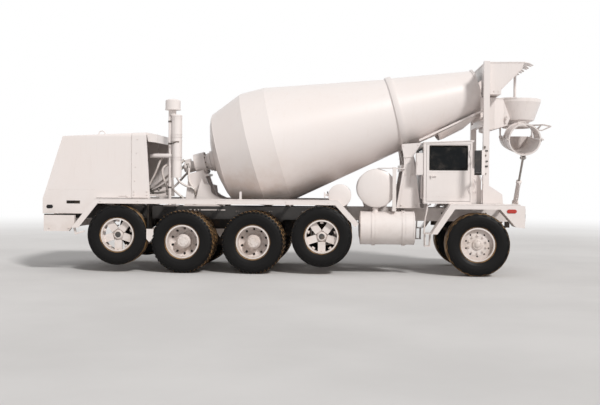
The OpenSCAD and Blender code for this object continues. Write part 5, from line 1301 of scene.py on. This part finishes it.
class MIXER_OT_stage(bpy.types.Operator):
    """Pale floor, white surroundings, soft key light and the camera at the photograph's angle"""
    bl_idname = "mixer.stage"
    bl_label = "Stage"

    def execute(self, context):
        deselect()
        bpy.ops.mesh.primitive_circle_add(vertices=96, radius=90, fill_type="NGON", location=(0, 0, -0.0005))
        floor = context.object
        apply_place()
        floor.name = "floor"
        made, tree, shader, relief, vector = material("pale_floor", bump=0.05)
        cloud = noise(tree, vector, 0.35, 5)
        colour = blend_colour(tree, mapped(tree, cloud, 0.3, 0.7), (0.6, 0.59, 0.585, 1), (0.66, 0.65, 0.645, 1))
        wire(tree, colour, shader.inputs["Base Color"])
        shader.inputs["Roughness"].default_value = 0.9
        wire(tree, noise(tree, vector, 14.0, 5), relief.inputs["Height"])
        reach = node(tree, "ShaderNodeVectorMath", operation="LENGTH")
        wire(tree, vector, reach.inputs[0])
        far = mapped(tree, reach.outputs["Value"], 8.0, 30.0)
        seen = straight_rays(tree)
        white = node(tree, "ShaderNodeEmission")
        white.inputs["Color"].default_value = (1, 1, 1, 1)
        mixer = node(tree, "ShaderNodeMixShader")
        wire(tree, maths(tree, "MULTIPLY", far, seen), mixer.inputs[0])
        wire(tree, shader.outputs[0], mixer.inputs[1])
        wire(tree, white.outputs[0], mixer.inputs[2])
        end = [n for n in tree.nodes if n.type == "OUTPUT_MATERIAL"][0]
        wire(tree, mixer.outputs[0], end.inputs["Surface"])
        floor.data.materials.append(made)
        world = bpy.data.worlds.new("studio")
        context.scene.world = world
        world.use_nodes = True
        tree = world.node_tree
        tree.nodes.clear()
        seen = straight_rays(tree)
        soft, plain = node(tree, "ShaderNodeBackground"), node(tree, "ShaderNodeBackground")
        soft.inputs["Color"].default_value = (1.0, 0.985, 0.975, 1)
        soft.inputs["Strength"].default_value = 0.48
        plain.inputs["Color"].default_value = (1, 1, 1, 1)
        mixer, end = node(tree, "ShaderNodeMixShader"), node(tree, "ShaderNodeOutputWorld")
        wire(tree, seen, mixer.inputs[0])
        wire(tree, soft.outputs[0], mixer.inputs[1])
        wire(tree, plain.outputs[0], mixer.inputs[2])
        wire(tree, mixer.outputs[0], end.inputs["Surface"])
        lamp = bpy.data.lights.new("key", "SUN")
        lamp.energy, lamp.angle, lamp.color = 2.4, radians(9), (1.0, 0.985, 0.965)
        key = bpy.data.objects.new("key", lamp)
        context.scene.collection.objects.link(key)
        key.rotation_euler = Vector((0.46, -0.62, 0.62)).to_track_quat("Z", "Y").to_euler()
        lens = bpy.data.cameras.new("camera")
        lens.lens, lens.sensor_width = context.scene.mixer_sizes.lens_mm, 36.0
        lens.clip_end = 400
        camera = bpy.data.objects.new("camera", lens)
        context.scene.collection.objects.link(camera)
        turn = Matrix.Rotation(radians(3.37), 4, "Z") @ Matrix.Rotation(radians(90 - 1.2), 4, "X")
        camera.matrix_world = (Matrix.Translation((0.97, -16.25, 1.6)) @ turn @ Matrix.Rotation(radians(0.38), 4,
                "Z"))
        context.scene.camera = camera
        context.scene.view_settings.view_transform = "Standard"
        return {"FINISHED"}


OPERATORS = [
    MIXER_OT_finishes, MIXER_OT_tyres, MIXER_OT_wheel_trim, MIXER_OT_hood_trim, MIXER_OT_hoses,
    MIXER_OT_stack_trim, MIXER_OT_drum_trim, MIXER_OT_pedestal_trim, MIXER_OT_tank_trim, MIXER_OT_cab_trim,
    MIXER_OT_mirrors, MIXER_OT_hopper_trim, MIXER_OT_chute_trim, MIXER_OT_cylinder_trim, MIXER_OT_chassis_trim,
    MIXER_OT_lamps, MIXER_OT_stage,
]


class MIXER_PT_panel(bpy.types.Panel):
    bl_idname = "MIXER_PT_panel"
    bl_label = "Concrete mixer truck"
    bl_space_type = "VIEW_3D"
    bl_region_type = "UI"
    bl_category = "Mixer"

    def draw(self, context):
        layout = self.layout
        for group_name in ("mixer_sizes", "mixer_colours"):
            settings = getattr(context.scene, group_name)
            for key in settings.bl_rna.properties.keys():
                if key not in ("rna_type", "name"):
                    layout.prop(settings, key)
        for operator in OPERATORS:
            layout.operator(operator.bl_idname)


CLASSES = [MixerSizes, MixerColours, *OPERATORS, MIXER_PT_panel]


def register():
    for made in CLASSES:
        bpy.utils.register_class(made)
    bpy.types.Scene.mixer_sizes = PointerProperty(type=MixerSizes)
    bpy.types.Scene.mixer_colours = PointerProperty(type=MixerColours)


def unregister():
    del bpy.types.Scene.mixer_sizes
    del bpy.types.Scene.mixer_colours
    for made in reversed(CLASSES):
        bpy.utils.unregister_class(made)


def main():
    register()
    for operator in OPERATORS:
        family, name = operator.bl_idname.split(".")
        getattr(getattr(bpy.ops, family), name)()


if __name__ == "__main__":
    main()
